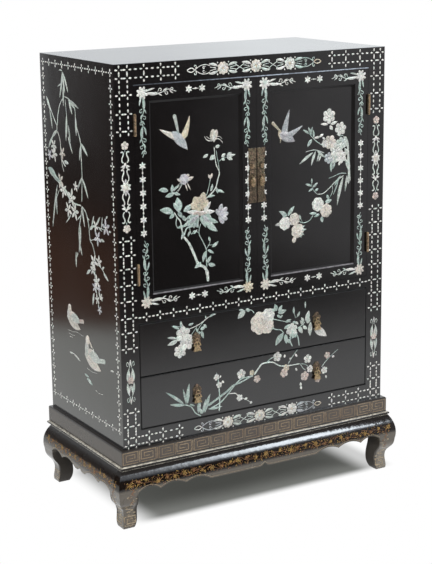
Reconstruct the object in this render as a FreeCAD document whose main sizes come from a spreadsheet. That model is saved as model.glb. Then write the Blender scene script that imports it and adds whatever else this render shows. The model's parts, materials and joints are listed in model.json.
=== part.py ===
import FreeCAD, Part
import math
import os
import Sketcher

# A lacquered two-door cabinet over two drawers, on a low stand with bulging aprons and curved legs.
# Frame: millimetres, +Z up, the front faces -Y, the origin is on the floor at the centre of the footprint.

Vector = FreeCAD.Vector
Rotation = FreeCAD.Rotation

doc = FreeCAD.newDocument("CabinetOnStand")
sheet = doc.addObject("Spreadsheet::Sheet", "Sizes")
kept = {}


class Length:
    """A number now, with the expression that gives it in the document."""

    def __init__(self, value, text):
        self.value = value
        self.text = text

    def __add__(self, other):
        other = lift(other)
        return Length(self.value + other.value, f"({self.text} + {other.text})")

    def __sub__(self, other):
        other = lift(other)
        return Length(self.value - other.value, f"({self.text} - {other.text})")

    def __mul__(self, other):
        other = lift(other)
        return Length(self.value * other.value, f"({self.text} * {other.text})")

    def __truediv__(self, other):
        other = lift(other)
        return Length(self.value / other.value, f"({self.text} / {other.text})")

    def __neg__(self):
        return Length(-self.value, f"(0 - {self.text})")

    __radd__ = __add__
    __rmul__ = __mul__


def lift(thing):
    """Take a plain number or a Length as a Length."""
    if isinstance(thing, Length):
        return thing
    return Length(float(thing), f"({thing})")


def root(thing):
    """The square root of a Length."""
    return Length(math.sqrt(thing.value), f"sqrt({thing.text})")


def size(alias, number, meaning):
    """Write one driving dimension to the sheet and hand back its Length."""
    size.row += 1
    sheet.set(f"A{size.row}", meaning)
    sheet.set(f"B{size.row}", str(number))
    sheet.setAlias(f"B{size.row}", alias)
    return Length(float(number), "Sizes." + alias)


size.row = 0

# The whole piece.
carcass_wide = size("carcass_wide", 830, "carcass across its sides")
carcass_deep = size("carcass_deep", 438, "carcass from face to back")
carcass_tall = size("carcass_tall", 1000, "carcass from its bottom board to its top")
stand_tall = size("stand_tall", 214, "floor to the underside of the carcass")

# Carcass boards and the face frame.
board_thick = size("board_thick", 18, "top, bottom and side boards")
back_thick = size("back_thick", 10, "back panel")
face_thick = size("face_thick", 20, "face frame")
stile_wide = size("stile_wide", 54, "face stile")
top_rail_tall = size("top_rail_tall", 56, "face rail over the doors")
middle_rail_tall = size("middle_rail_tall", 33, "face rail between doors and drawers")
bottom_rail_tall = size("bottom_rail_tall", 46, "face rail under the drawers")
shelf_thick = size("shelf_thick", 15, "shelf in the cupboard")
shelf_high = size("shelf_high", 290, "cupboard floor to the top of the shelf")
shelf_setback = size("shelf_setback", 24, "shelf edge behind the face frame")
shelf_fit = size("shelf_fit", 0.3, "play at each end of the shelf")
cleat_wide = size("cleat_wide", 14, "shelf cleat out from the side board")
cleat_tall = size("cleat_tall", 18, "shelf cleat")
stop_lap = size("stop_lap", 6, "door stops behind the door edges")
stop_thick = size("stop_thick", 10, "strip that stops the doors at the top")
stop_seat = size("stop_seat", 14, "stop strip glued up the back of the top rail")
stop_gap = size("stop_gap", 0.5, "play behind a closed door or drawer")

# Doors.
edge_gap = size("edge_gap", 0.8, "play round a door or a drawer front")
door_stile_wide = size("door_stile_wide", 43, "door stile")
door_rail_tall = size("door_rail_tall", 39, "door rail")
panel_set = size("panel_set", 8, "panel face behind the door face")
panel_thick = size("panel_thick", 7, "door panel")
panel_groove = size("panel_groove", 6, "panel let into the door frame")
panel_fit = size("panel_fit", 0.2, "play round the panel in its groove")
bead_wide = size("bead_wide", 7, "bevelled bead across the panel")
bead_deep = size("bead_deep", 7, "bevelled bead out from the panel")
bead_lip = size("bead_lip", 1, "front edge of the bead")

# Butt hinges.
hinge_tall = size("hinge_tall", 52, "hinge leaf")
hinge_from_end = size("hinge_from_end", 98, "hinge middle from the end of the door opening")
barrel_radius = size("barrel_radius", 4, "hinge barrel")
barrel_clear = size("barrel_clear", 0.35, "play round the barrel")
pin_radius = size("pin_radius", 1.8, "hinge pin")
pin_fit = size("pin_fit", 0.1, "play round the hinge pin")
pin_head_radius = size("pin_head_radius", 3, "button on each end of a hinge pin")
pin_head_tall = size("pin_head_tall", 2, "button on each end of a hinge pin")
leaf_thick = size("leaf_thick", 1.2, "hinge leaf")
leaf_wide = size("leaf_wide", 14, "hinge leaf behind the barrel")
screw_radius = size("screw_radius", 1.4, "hinge screw")
screw_head_radius = size("screw_head_radius", 2.4, "hinge screw head")
screw_long = size("screw_long", 12, "hinge screw in the wood")
screw_fit = size("screw_fit", 0.1, "play round a screw or a pin")

# Lock plates and their drops.
plate_thick = size("plate_thick", 1.5, "brass plates")
lock_wide = size("lock_wide", 24, "lock plate")
lock_flare = size("lock_flare", 4, "lock plate wider at its foot")
lock_tall = size("lock_tall", 146, "lock plate")
lock_high = size("lock_high", 248, "lock plate foot above the cupboard floor")
lock_inset = size("lock_inset", 2, "lock plate from the middle of the cabinet")
boss_radius = size("boss_radius", 8, "domed boss on the lock plate")
boss_proud = size("boss_proud", 6, "domed boss")
boss_high = size("boss_high", 98, "boss above the lock plate foot")
door_eye_high = size("door_eye_high", 74, "eye post above the lock plate foot")
tack_radius = size("tack_radius", 0.8, "brass pin in a plate")
tack_head = size("tack_head", 1.4, "head of a brass pin")
tack_long = size("tack_long", 8, "brass pin in the wood")
tack_inset = size("tack_inset", 3.5, "brass pin from the edge of its plate")

# Door drops.
drop_wire = size("drop_wire", 1.1, "radius of the door drop's ring wire")
drop_ring = size("drop_ring", 3.6, "radius of the door drop's ring")
drop_wide = size("drop_wide", 16, "door drop")
drop_deep = size("drop_deep", 7, "door drop")
drop_tall = size("drop_tall", 27, "door drop below its ring")
drop_post = size("drop_post", 1.5, "radius of the post that a door drop hangs on")

# Drawers.
lower_front_tall = size("lower_front_tall", 142, "space that the lower drawer fills")
upper_front_tall = size("upper_front_tall", 143, "space that the upper drawer fills")
front_round = size("front_round", 2.5, "rounding of a drawer front")
drawer_side_thick = size("drawer_side_thick", 10, "drawer side")
drawer_back_thick = size("drawer_back_thick", 10, "drawer back")
drawer_bottom_thick = size("drawer_bottom_thick", 6, "drawer bottom")
bottom_lift = size("bottom_lift", 6, "drawer bottom above the edge of the side")
bottom_groove = size("bottom_groove", 4, "drawer bottom let into side and front")
side_drop = size("side_drop", 6, "drawer side under what is above it")
runner_thick = size("runner_thick", 15, "upper runner and the blade between drawers")
runner_lap = size("runner_lap", 24, "runner under the drawer side")
guide_tall = size("guide_tall", 20, "guide beside the drawer")
blade_wide = size("blade_wide", 36, "blade between the drawers")
run_gap = size("run_gap", 0.3, "play under a drawer on its runner")

# Drawer pulls.
pull_apart = size("pull_apart", 384, "between the two pulls of a drawer")
pull_rise = size("pull_rise", 6, "pull post above the middle of the drawer front")
lobe_radius = size("lobe_radius", 8, "top and bottom lobe of the pull plate")
lobe_reach = size("lobe_reach", 11, "top and bottom lobe from the post")
ear_radius = size("ear_radius", 6.5, "side lobe of the pull plate")
ear_across = size("ear_across", 6.5, "side lobe from the post")
ear_rise = size("ear_rise", 5, "side lobe above and below the post")
post_radius = size("post_radius", 2, "radius of the post that a pull hangs on")
post_long = size("post_long", 12, "post in the wood")
ring_wire = size("ring_wire", 1.3, "radius of the pull's ring wire")
ring_radius = size("ring_radius", 4.5, "radius of the pull's ring")
ring_play = size("ring_play", 0.2, "play over the post")
ring_out = size("ring_out", 4.5, "ring in front of its plate")
head_more = size("head_more", 0.7, "post head wider than the post")
hoop_radius = size("hoop_radius", 10, "outside of the hoop under the ring")
hoop_thick = size("hoop_thick", 2.6, "hoop and stem of the pull")
hoop_deep = size("hoop_deep", 3, "hoop, stem and bar front to back")
bar_wide = size("bar_wide", 22, "bar across the pull")
bell_top = size("bell_top", 12, "bell of the pull at its top")
bell_wide = size("bell_wide", 22, "bell of the pull at its mouth")
bell_tall = size("bell_tall", 14, "bell of the pull")
bell_deep = size("bell_deep", 6, "bell of the pull front to back")

# Stand.
rim_over = size("rim_over", 12, "rim out from the carcass")
rim_tall = size("rim_tall", 43, "flat band of the rim")
rim_wide = size("rim_wide", 70, "rim member front to back")
rim_bevel = size("rim_bevel", 2.5, "bevel on the rim's top edge")
bead_over = size("bead_over", 19, "bead under the rim out from the carcass")
bead_tall = size("bead_tall", 7, "bead under the rim")
bulge_radius = size("bulge_radius", 85, "curve of the apron")
knee_over = size("knee_over", 33, "widest place of the bulge out from the carcass")
back_over = size("back_over", 3, "stand out behind the carcass")
knee_drop = size("knee_drop", 53, "widest place of the bulge under the rim bead")
apron_drop = size("apron_drop", 67, "apron from bead to lowest edge")
apron_in = size("apron_in", 8, "apron back face inside the carcass line")
leg_in = size("leg_in", 24, "leg inside the carcass line at the apron")
calf_high = size("calf_high", 76, "calf of the leg above the floor")
calf_over = size("calf_over", 28, "calf out from the carcass")
calf_in = size("calf_in", 25, "calf inside the carcass line")
shin_high = size("shin_high", 58, "shin above the floor")
shin_over = size("shin_over", 15.5, "shin out from the carcass")
shin_in = size("shin_in", 27.5, "shin inside the carcass line")
ankle_high = size("ankle_high", 33, "ankle above the floor")
ankle_over = size("ankle_over", 10.5, "ankle out from the carcass")
ankle_in = size("ankle_in", 29, "ankle inside the carcass line")
foot_high = size("foot_high", 10, "swell of the foot above the floor")
foot_over = size("foot_over", 13, "foot out from the carcass")
foot_in = size("foot_in", 25, "foot inside the carcass line")
sole_over = size("sole_over", 12, "sole out from the carcass")
sole_in = size("sole_in", 20, "sole inside the carcass line")
cusp_lift = size("cusp_lift", 4, "points between the arches above the lowest edge")
first_arch = size("first_arch", 67, "first arch of the apron beside the leg")
first_rise = size("first_rise", 12.5, "height of the first arch")
second_arch = size("second_arch", 77, "second arch of the apron")
second_rise = size("second_rise", 11, "height of the second arch")
third_arch = size("third_arch", 70, "third arch, on the long aprons")
third_rise = size("third_rise", 9, "height of the third arch")
peak_wide = size("peak_wide", 40, "pointed arch in the middle of the apron")
peak_rise = size("peak_rise", 11, "height of the pointed arch")
bearer_wide = size("bearer_wide", 60, "bearer across the stand")
bearer_thick = size("bearer_thick", 20, "bearer across the stand")
bearer_apart = size("bearer_apart", 300, "between the two bearers")

# Planes that several pieces share.
half_wide = carcass_wide / 2
half_deep = carcass_deep / 2
carcass_middle = (knee_over - back_over) / 2
front = carcass_middle - half_deep
back = carcass_middle + half_deep
stand_half = -front
base = stand_tall
top = base + carcass_tall
face_back = front + face_thick
back_face = back - back_thick
inside_x = half_wide - board_thick
opening_x = half_wide - stile_wide
floor_top = base + board_thick
ceiling = top - board_thick
lower_bottom = base + bottom_rail_tall
upper_bottom = lower_bottom + lower_front_tall
middle_bottom = upper_bottom + upper_front_tall
door_bottom = middle_bottom + middle_rail_tall
door_top = top - top_rail_tall
front_thick = face_thick - stop_gap
front_back = front + front_thick


def bind(thing, where, what):
    """Tie one property of an object to a Length."""
    thing.setExpression(where, lift(what).text)


def keep(label, thing):
    """Name an object as a finished sub-part."""
    thing.Label = label
    kept[label] = thing
    return thing


def block(name, x, y, z):
    """A board between three pairs of planes."""
    board = doc.addObject("Part::Box", name)
    for edge, axis, span in zip(("Length", "Width", "Height"), "xyz", (x, y, z)):
        bind(board, edge, span[1] - span[0])
        bind(board, "Placement.Base." + axis, span[0])
    return board


TURNS = {
    "x": Rotation(Vector(0, 1, 0), 90),
    "y": Rotation(Vector(1, 0, 0), -90),
    "z": Rotation(),
    "-y": Rotation(Vector(1, 0, 0), 90),
}


def put(thing, start, along):
    """Turn an object's own Z along an axis and tie its place."""
    thing.Placement = FreeCAD.Placement(Vector(), TURNS[along])
    for axis, where in zip("xyz", start):
        bind(thing, "Placement.Base." + axis, where)
    return thing


def rod(name, start, along, radius, long):
    """A cylinder from a start point along an axis."""
    made = doc.addObject("Part::Cylinder", name)
    bind(made, "Radius", radius)
    bind(made, "Height", long)
    return put(made, start, along)


def ball(name, middle, radius):
    """A sphere."""
    made = doc.addObject("Part::Sphere", name)
    bind(made, "Radius", radius)
    return put(made, middle, "z")


def hoop(name, middle, radius, wire):
    """A ring of round wire that faces the front."""
    made = doc.addObject("Part::Torus", name)
    bind(made, "Radius1", radius)
    bind(made, "Radius2", wire)
    return put(made, middle, "y")


def egg(name, middle, along, tall, wide, deep):
    """An ellipsoid, with its half height along an axis."""
    made = doc.addObject("Part::Ellipsoid", name)
    bind(made, "Radius1", tall)
    bind(made, "Radius2", wide)
    bind(made, "Radius3", deep)
    return put(made, middle, along)


def wedge(name, x_low, x_high, y, z):
    """A block whose X span changes from its low Y face to its high Y face."""
    made = doc.addObject("Part::Wedge", name)
    spans = (("Xmin", x_low[0]), ("Xmax", x_low[1]), ("X2min", x_high[0]), ("X2max", x_high[1]))
    for where, what in spans + (("Ymin", y[0]), ("Ymax", y[1])):
        bind(made, where, what)
    for where, what in (("Zmin", z[0]), ("Zmax", z[1]), ("Z2min", z[0]), ("Z2max", z[1])):
        bind(made, where, what)
    return made


def cut(name, base_piece, tool):
    """One object less another."""
    made = doc.addObject("Part::Cut", name)
    made.Base = base_piece
    made.Tool = tool
    return made


def common(name, one, other):
    """What two objects share."""
    made = doc.addObject("Part::Common", name)
    made.Base = one
    made.Tool = other
    return made


def fuse(name, *pieces):
    """Several objects as one solid."""
    made = doc.addObject("Part::MultiFuse", name)
    made.Shapes = list(pieces)
    made.Refine = True
    return made


def group(name, *pieces):
    """Several objects as separate solids of one compound."""
    made = doc.addObject("Part::Compound", name)
    made.Links = list(pieces)
    return made


def mirror(name, source, normal=Vector(1, 0, 0)):
    """A copy of an object on the other side of the cabinet."""
    made = doc.addObject("Part::Mirroring", name)
    made.Source = source
    made.Normal = normal
    return made


def turned(thing, degrees):
    """Turn a finished object about the cabinet's upright middle line."""
    thing.Placement = FreeCAD.Placement(Vector(), Rotation(Vector(0, 0, 1), degrees))
    return thing


def outline(body, role, points, offset):
    """A closed sketch of straight edges on one of a body's own planes, moved off along its normal."""
    sketch = body.newObject("Sketcher::SketchObject", body.Name + "Outline")
    plane = [item for item in body.Origin.OriginFeatures if item.Role == role][0]
    sketch.AttachmentSupport = [(plane, "")]
    sketch.MapMode = "FlatFace"
    bind(sketch, "AttachmentOffset.Base.z", offset)
    corners = [Vector(lift(u).value, lift(v).value, 0) for u, v in points]
    count = len(corners)
    for index in range(count):
        sketch.addGeometry(Part.LineSegment(corners[index], corners[(index + 1) % count]), False)
    for index in range(count):
        sketch.addConstraint(Sketcher.Constraint("Coincident", index, 2, (index + 1) % count, 1))
    for index, (u, v) in enumerate(points):
        for kind, letter, where in (("DistanceX", "u", u), ("DistanceY", "v", v)):
            spot = Sketcher.Constraint(kind, -1, 1, index, 1, lift(where).value)
            number = sketch.addConstraint(spot)
            sketch.renameConstraint(number, f"{letter}{index}")
            bind(sketch, f"Constraints.{letter}{index}", where)
    return sketch


def pad(name, role, points, offset, thick):
    """A plate: an outline on one plane, padded along that plane's normal."""
    body = doc.addObject("PartDesign::Body", name)
    sketch = outline(body, role, points, offset)
    made = body.newObject("PartDesign::Pad", name + "Pad")
    made.Profile = sketch
    bind(made, "Length", thick)
    sketch.Visibility = False
    return body, made


def both_sides(label, left_piece):
    """Keep a left piece and its mirror image."""
    keep(label.replace("*", "left"), left_piece)
    keep(label.replace("*", "right"), mirror("Mirrored_" + left_piece.Name, left_piece))


# Carcass: a box of boards behind a face frame.

def make_carcass():
    across = (-half_wide, half_wide)
    within = (-inside_x, inside_x)
    deep = (face_back, back)
    upright = (floor_top, ceiling)
    keep("carcass_top", block("Top", across, deep, (ceiling, top)))
    keep("carcass_bottom", block("Bottom", across, deep, (base, floor_top)))
    both_sides("carcass_side_*", block("Side", (-half_wide, -inside_x), deep, upright))
    keep("carcass_back", block("Back", within, (back_face, back), upright))


def make_face_frame():
    deep = (front, face_back)
    opening = (-opening_x, opening_x)
    stile = block("FaceStile", (-half_wide, -opening_x), deep, (base, top))
    keep("face_rail_top", block("RailTop", opening, deep, (door_top, top)))
    keep("face_rail_middle", block("RailMiddle", opening, deep, (middle_bottom, door_bottom)))
    keep("face_rail_bottom", block("RailBottom", opening, deep, (base, lower_bottom)))
    stop_deep = (face_back, face_back + stop_thick)
    stop_high = (door_top - stop_lap, door_top + stop_seat)
    keep("door_stop", block("DoorStop", opening, stop_deep, stop_high))
    return stile


shelf_top = door_bottom + stop_lap + shelf_high
cupboard_floor = door_bottom + stop_lap


def make_inside():
    within = (-inside_x, inside_x)
    between = (face_back, back_face)
    divider_high = (cupboard_floor - board_thick, cupboard_floor)
    keep("divider_board", block("Divider", within, between, divider_high))
    shelf_deep = (face_back + shelf_setback, back_face - shelf_fit)
    shelf_wide = (-(inside_x - shelf_fit), inside_x - shelf_fit)
    keep("cupboard_shelf", block("Shelf", shelf_wide, shelf_deep, (shelf_top - shelf_thick, shelf_top)))
    cleat_high = (shelf_top - shelf_thick - cleat_tall, shelf_top - shelf_thick)
    cleat = block("Cleat", (-inside_x, -(inside_x - cleat_wide)), shelf_deep, cleat_high)
    keep("shelf_cleats", group("Cleats", cleat, mirror("CleatRight", cleat)))


def make_runners():
    """Runners carry the drawer sides, guides keep them straight, the blade ties the stiles."""
    carry = (-inside_x, -(opening_x - runner_lap))
    steer = (-inside_x, -opening_x)
    behind_blade = (face_back + blade_wide, back_face)
    low_deep = (face_back, back_face)
    pieces = [
        block("LowerRunner", carry, low_deep, (floor_top, lower_bottom)),
        block("UpperRunner", carry, behind_blade, (upper_bottom - runner_thick, upper_bottom)),
        block("LowerGuide", steer, low_deep, (lower_bottom, lower_bottom + guide_tall)),
        block("UpperGuide", steer, behind_blade, (upper_bottom, upper_bottom + guide_tall)),
    ]
    pieces += [mirror(piece.Name + "Right", piece) for piece in pieces]
    keep("drawer_runners", group("Runners", *pieces))
    blade_high = (upper_bottom - runner_thick, upper_bottom)
    keep("drawer_blade", block("Blade", (-inside_x, inside_x), (face_back, behind_blade[0]), blade_high))


# Hinges: two butt hinges on each door, with the barrel in front of the face.

axis_x = -(opening_x - edge_gap / 2)
axis_y = front - barrel_radius - barrel_clear
knuckle = hinge_tall / 5
hinge_middles = (door_bottom + hinge_from_end, door_top - hinge_from_end)
leaf_start = axis_y + barrel_radius + barrel_clear / 2
leaf_end = axis_y + leaf_wide
leaf_clear = edge_gap / 8
screw_y = leaf_start + (leaf_end - leaf_start) / 2


def hinge_leaf(name, middle, side):
    """One leaf: a flat strip, and the knuckles that it holds. Side -1 is the frame, 1 is the door."""
    foot = middle - hinge_tall / 2
    faces = (axis_x + side * leaf_clear, axis_x + side * (leaf_clear + leaf_thick))
    span = faces if side > 0 else (faces[1], faces[0])
    strip = block(name + "Strip", span, (leaf_start, leaf_end), (foot, foot + hinge_tall))
    turns = (0, 2, 4) if side < 0 else (1, 3)
    parts = [strip]
    for turn in turns:
        low = foot + knuckle * turn
        play = lift(0) if turn == 0 else barrel_clear / 2
        end_play = lift(0) if turn == 4 else barrel_clear / 2
        high = low + knuckle - end_play
        low = low + play
        barrel = rod(f"{name}Knuckle{turn}", (axis_x, axis_y, low), "z", barrel_radius, high - low)
        tab_deep = (axis_y + (barrel_radius + pin_radius) / 2, leaf_start)
        tab = block(f"{name}Tab{turn}", span, tab_deep, (low, high))
        parts += [barrel, tab]
    whole = fuse(name + "Whole", *parts)
    bore = rod(name + "Bore", (axis_x, axis_y, foot), "z", pin_radius + pin_fit, hinge_tall)
    holes = [bore]
    for height in screw_heights(middle):
        start = (span[0], screw_y, height)
        holes.append(rod(f"{name}Hole", start, "x", screw_head_radius + screw_fit, leaf_thick))
    return cut(name, whole, group(name + "Holes", *holes))


def screw_heights(middle):
    """Three screws up a leaf."""
    return [middle - hinge_tall / 3, middle, middle + hinge_tall / 3]


def hinge_pin(name, middle):
    """A pin with a button on each end."""
    foot = middle - hinge_tall / 2
    shaft = rod(name + "Shaft", (axis_x, axis_y, foot), "z", pin_radius, hinge_tall)
    low = rod(name + "Low", (axis_x, axis_y, foot - pin_head_tall), "z", pin_head_radius, pin_head_tall)
    high = rod(name + "High", (axis_x, axis_y, foot + hinge_tall), "z", pin_head_radius, pin_head_tall)
    return fuse(name, shaft, low, high)


def hinge_screw(name, height, side):
    """A flat screw head in the leaf, and its shank in the wood."""
    near = axis_x + side * leaf_clear
    far = near + side * leaf_thick
    end = far + side * screw_long
    low_x = (near, far) if side > 0 else (far, near)
    head = rod(name + "Head", (low_x[0], screw_y, height), "x", screw_head_radius, leaf_thick)
    shank = rod(name + "Shank", (far if side > 0 else end, screw_y, height), "x", screw_radius, screw_long)
    return fuse(name, head, shank)


def hinge_mortise(name, middle, side):
    """What the wood loses to one leaf and its screws."""
    foot = middle - hinge_tall / 2
    far = axis_x + side * (leaf_clear + leaf_thick)
    low, high = (axis_x, far) if side > 0 else (far, axis_x)
    bed = block(name + "Bed", (low, high), (front - barrel_clear, leaf_end), (foot, foot + hinge_tall))
    tools = [bed]
    for number, height in enumerate(screw_heights(middle)):
        end = far if side > 0 else far - screw_long - screw_fit
        start = (end, screw_y, height)
        hole = rod(f"{name}Drill{number}", start, "x", screw_radius + screw_fit, screw_long + screw_fit)
        tools.append(hole)
    return fuse(name, *tools)


def make_hinges(stile):
    """The frame side of the hinges, the pins, and the stiles they are let into."""
    leaves = []
    pins = []
    screws = []
    beds = []
    for number, middle in enumerate(hinge_middles):
        leaves.append(hinge_leaf(f"FrameLeaf{number}", middle, -1))
        pins.append(hinge_pin(f"Pin{number}", middle))
        beds.append(hinge_mortise(f"FrameBed{number}", middle, -1))
        for place, height in enumerate(screw_heights(middle)):
            screws.append(hinge_screw(f"FrameScrew{number}{place}", height, -1))
    for label, pieces in (("hinge_frame_leaves", leaves), ("hinge_pins", pins), ("hinge_screws", screws)):
        one_side = group(label + "_one_side", *pieces)
        keep(label, group(label + "_all", one_side, mirror(label + "_mirrored", one_side)))
    both_sides("face_stile_*", cut("FaceStileLet", stile, group("FrameBeds", *beds)))


# Doors: a frame round a sunk panel. The left door is made, and the right door is its mirror image.

door_left = -(opening_x - edge_gap)
door_right = -edge_gap / 2
door_low = door_bottom + edge_gap
door_high = door_top - edge_gap
field_x = (door_left + door_stile_wide, door_right - door_stile_wide)
field_z = (door_low + door_rail_tall, door_high - door_rail_tall)
lock_foot = cupboard_floor - stop_lap + lock_high
plate_face = front - plate_thick


def grown(span, by):
    """A span made longer by one amount at each end."""
    return (span[0] - by, span[1] + by)


def make_door_frame():
    deep = (front, front_back)
    panel_deep = (front + panel_set, front + panel_set + panel_thick)
    groove = block("PanelGroove", grown(field_x, panel_groove), grown(panel_deep, panel_fit),
                   grown(field_z, panel_groove))
    hinge_stile = block("HingeStile", (door_left, field_x[0]), deep, (door_low, door_high))
    beds = [hinge_mortise(f"DoorBed{number}", middle, 1) for number, middle in enumerate(hinge_middles)]
    hinge_stile_let = cut("HingeStileLet", hinge_stile, group("DoorBeds", *beds))
    meeting_stile = block("MeetingStile", (field_x[1], door_right), deep, (door_low, door_high))
    drills = group("LockDrills", *lock_holes(tack_long, screw_fit))
    meeting_drilled = cut("MeetingStileDrilled", meeting_stile, drills)
    stiles = group("DoorStilesWhole", hinge_stile_let, meeting_drilled)
    both_sides("*_door_stiles", cut("DoorStiles", stiles, groove))
    low_rail = block("LowRail", field_x, deep, (door_low, field_z[0]))
    high_rail = block("HighRail", field_x, deep, (field_z[1], door_high))
    both_sides("*_door_rails", cut("DoorRails", group("DoorRailsWhole", low_rail, high_rail), groove))
    let_in = panel_groove - panel_fit
    panel = block("DoorPanel", grown(field_x, let_in), panel_deep, grown(field_z, let_in))
    both_sides("*_door_panel", panel)
    make_door_bead(panel_deep[0])


def make_door_bead(panel_face):
    """A bevelled frame glued round the panel: a flat frame less a tapering middle."""
    bead_deep_span = (panel_face - bead_deep, panel_face)
    outer = block("BeadOuter", field_x, bead_deep_span, field_z)
    taper = doc.addObject("Part::Wedge", "BeadTaper")
    near_x, far_x = grown(field_x, -bead_lip), grown(field_x, -bead_wide)
    near_z, far_z = grown(field_z, -bead_lip), grown(field_z, -bead_wide)
    ends = (("Xmin", near_x[0]), ("Xmax", near_x[1]), ("Zmin", near_z[0]), ("Zmax", near_z[1]),
            ("X2min", far_x[0]), ("X2max", far_x[1]), ("Z2min", far_z[0]), ("Z2max", far_z[1]),
            ("Ymin", bead_deep_span[0]), ("Ymax", bead_deep_span[1]))
    for where, what in ends:
        bind(taper, where, what)
    both_sides("*_door_bead", cut("DoorBead", outer, taper))


# Where the brass on the left door sits.
lock_right = -lock_inset
lock_left = lock_right - lock_wide
lock_middle = (lock_left + lock_right) / 2
drop_y = plate_face - ring_out
door_eye_z = lock_foot + door_eye_high
tack_places = [
    (lock_left + tack_inset, lock_foot + tack_inset),
    (lock_right - tack_inset, lock_foot + tack_inset),
    (lock_left + tack_inset, lock_foot + lock_tall - tack_inset),
    (lock_right - tack_inset, lock_foot + lock_tall - tack_inset),
]


def lock_holes(deep, play):
    """Holes for the four pins and the eye post of a lock plate, from the plate's face into the wood."""
    holes = []
    for number, (x, z) in enumerate(tack_places):
        start = (x, plate_face - play, z)
        long = plate_thick + deep + play * 2
        holes.append(rod(f"TackHole{number}", start, "y", tack_radius + play, long))
    start = (lock_middle, plate_face - play, door_eye_z)
    holes.append(rod("EyeHole", start, "y", drop_post + play, plate_thick + post_long + play * 2))
    return holes


def make_lock_plate():
    """A tall brass plate with a waist and a flared foot, its boss and the eye post for the drop."""
    waist = lock_wide / 8
    rise = lock_tall / 6
    points = [
        (lock_right, lock_foot),
        (lock_right, lock_foot + lock_tall),
        (lock_left, lock_foot + lock_tall),
        (lock_left, lock_foot + rise * 5),
        (lock_left + waist, lock_foot + rise * 5 - waist),
        (lock_left + waist, lock_foot + rise * 3 + waist),
        (lock_left, lock_foot + rise * 3),
        (lock_left, lock_foot + rise * 2),
        (lock_left + waist, lock_foot + rise * 2 - waist),
        (lock_left + waist, lock_foot + rise),
        (lock_left - lock_flare, lock_foot),
    ]
    plate = pad("LockPlateBlank", "XZ_Plane", points, -front, plate_thick)[0]
    pierced = cut("LockPlate", plate, group("LockHoles", *lock_holes(tack_long, screw_fit)))
    boss_z = lock_foot + boss_high
    dome = egg("BossDome", (lock_middle, plate_face, boss_z), "-y", boss_proud, boss_radius, boss_radius)
    dome.Angle1 = 0
    post = eye_post("DoorEye", lock_middle, door_eye_z, drop_post, drop_wire)
    both_sides("*_door_lock_plate", group("LockPlateSet", pierced, dome, post))


def eye_post(name, x, z, radius, wire):
    """A post that a ring hangs on, with a round head in front and its shank in the wood."""
    head_y = drop_y - wire * 2 - ring_play
    shaft_long = front - head_y + post_long
    shaft = rod(name + "Shaft", (x, head_y, z), "y", radius, shaft_long)
    head = ball(name + "Head", (x, head_y, z), radius + head_more)
    return fuse(name, shaft, head)


def make_door_fasteners():
    """The hinge screws and the plate pins of the left door."""
    pieces = []
    for number, middle in enumerate(hinge_middles):
        for place, height in enumerate(screw_heights(middle)):
            pieces.append(hinge_screw(f"DoorScrew{number}{place}", height, 1))
    for number, (x, z) in enumerate(tack_places):
        start = (x, plate_face - tack_radius, z)
        head = rod(f"TackHead{number}", start, "y", tack_head, tack_radius)
        shank_start = (x, plate_face, z)
        shank = rod(f"TackShank{number}", shank_start, "y", tack_radius, plate_thick + tack_long)
        pieces.append(fuse(f"Tack{number}", head, shank))
    both_sides("*_door_fasteners", group("DoorFasteners", *pieces))


def make_door_hinge_leaves():
    leaves = [hinge_leaf(f"DoorLeaf{number}", middle, 1) for number, middle in enumerate(hinge_middles)]
    both_sides("*_door_hinge_leaves", group("DoorLeaves", *leaves))


def make_door_drop():
    """A flat egg-shaped drop on a ring of wire."""
    ring_z = door_eye_z + drop_post + drop_wire + ring_play - drop_ring
    ring = hoop("DropRing", (lock_middle, drop_y, ring_z), drop_ring, drop_wire)
    neck_top = ring_z - drop_ring
    neck = rod("DropNeck", (lock_middle, drop_y, neck_top - drop_wire * 3), "z", drop_wire * 2, drop_wire * 3)
    middle_z = neck_top - drop_tall / 2
    bulb = egg("DropBulb", (lock_middle, drop_y, middle_z), "z", drop_tall / 2, drop_wide / 2, drop_deep / 2)
    both_sides("*_door_drop", fuse("DoorDrop", ring, neck, bulb))


# Drawers: a front, two sides, a back, and a bottom let into grooves.

drawer_x = opening_x - edge_gap
drawer_end = back_face - stop_gap


def make_drawer(label, low, front_tall, roof):
    """A drawer from its lowest edge, with the height of its front and what its sides pass under."""
    name = label.title()
    edge_low = low + run_gap
    edge_high = roof - side_drop
    bottom_z = (edge_low + bottom_lift, edge_low + bottom_lift + drawer_bottom_thick)
    let_x = drawer_x - drawer_side_thick + bottom_groove
    bottom_y = (front_back - bottom_groove, drawer_end)
    bottom = block(name + "Bottom", (-let_x, let_x), bottom_y, bottom_z)
    keep(label + "_drawer_bottom", bottom)
    side = block(name + "Side", (-drawer_x, -(drawer_x - drawer_side_thick)), (front_back, drawer_end),
                 (edge_low, edge_high))
    sides = group(name + "SidesWhole", side, mirror(name + "SideRight", side))
    keep(label + "_drawer_sides", cut(name + "Sides", sides, bottom))
    inner = drawer_x - drawer_side_thick
    back_span = (drawer_end - drawer_back_thick, drawer_end)
    keep(label + "_drawer_back", block(name + "Back", (-inner, inner), back_span, (bottom_z[1], edge_high)))
    posts_z = low + front_tall / 2 + pull_rise
    make_drawer_front(label, name, low, front_tall, bottom, posts_z)
    make_pulls(label, name, posts_z)


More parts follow.
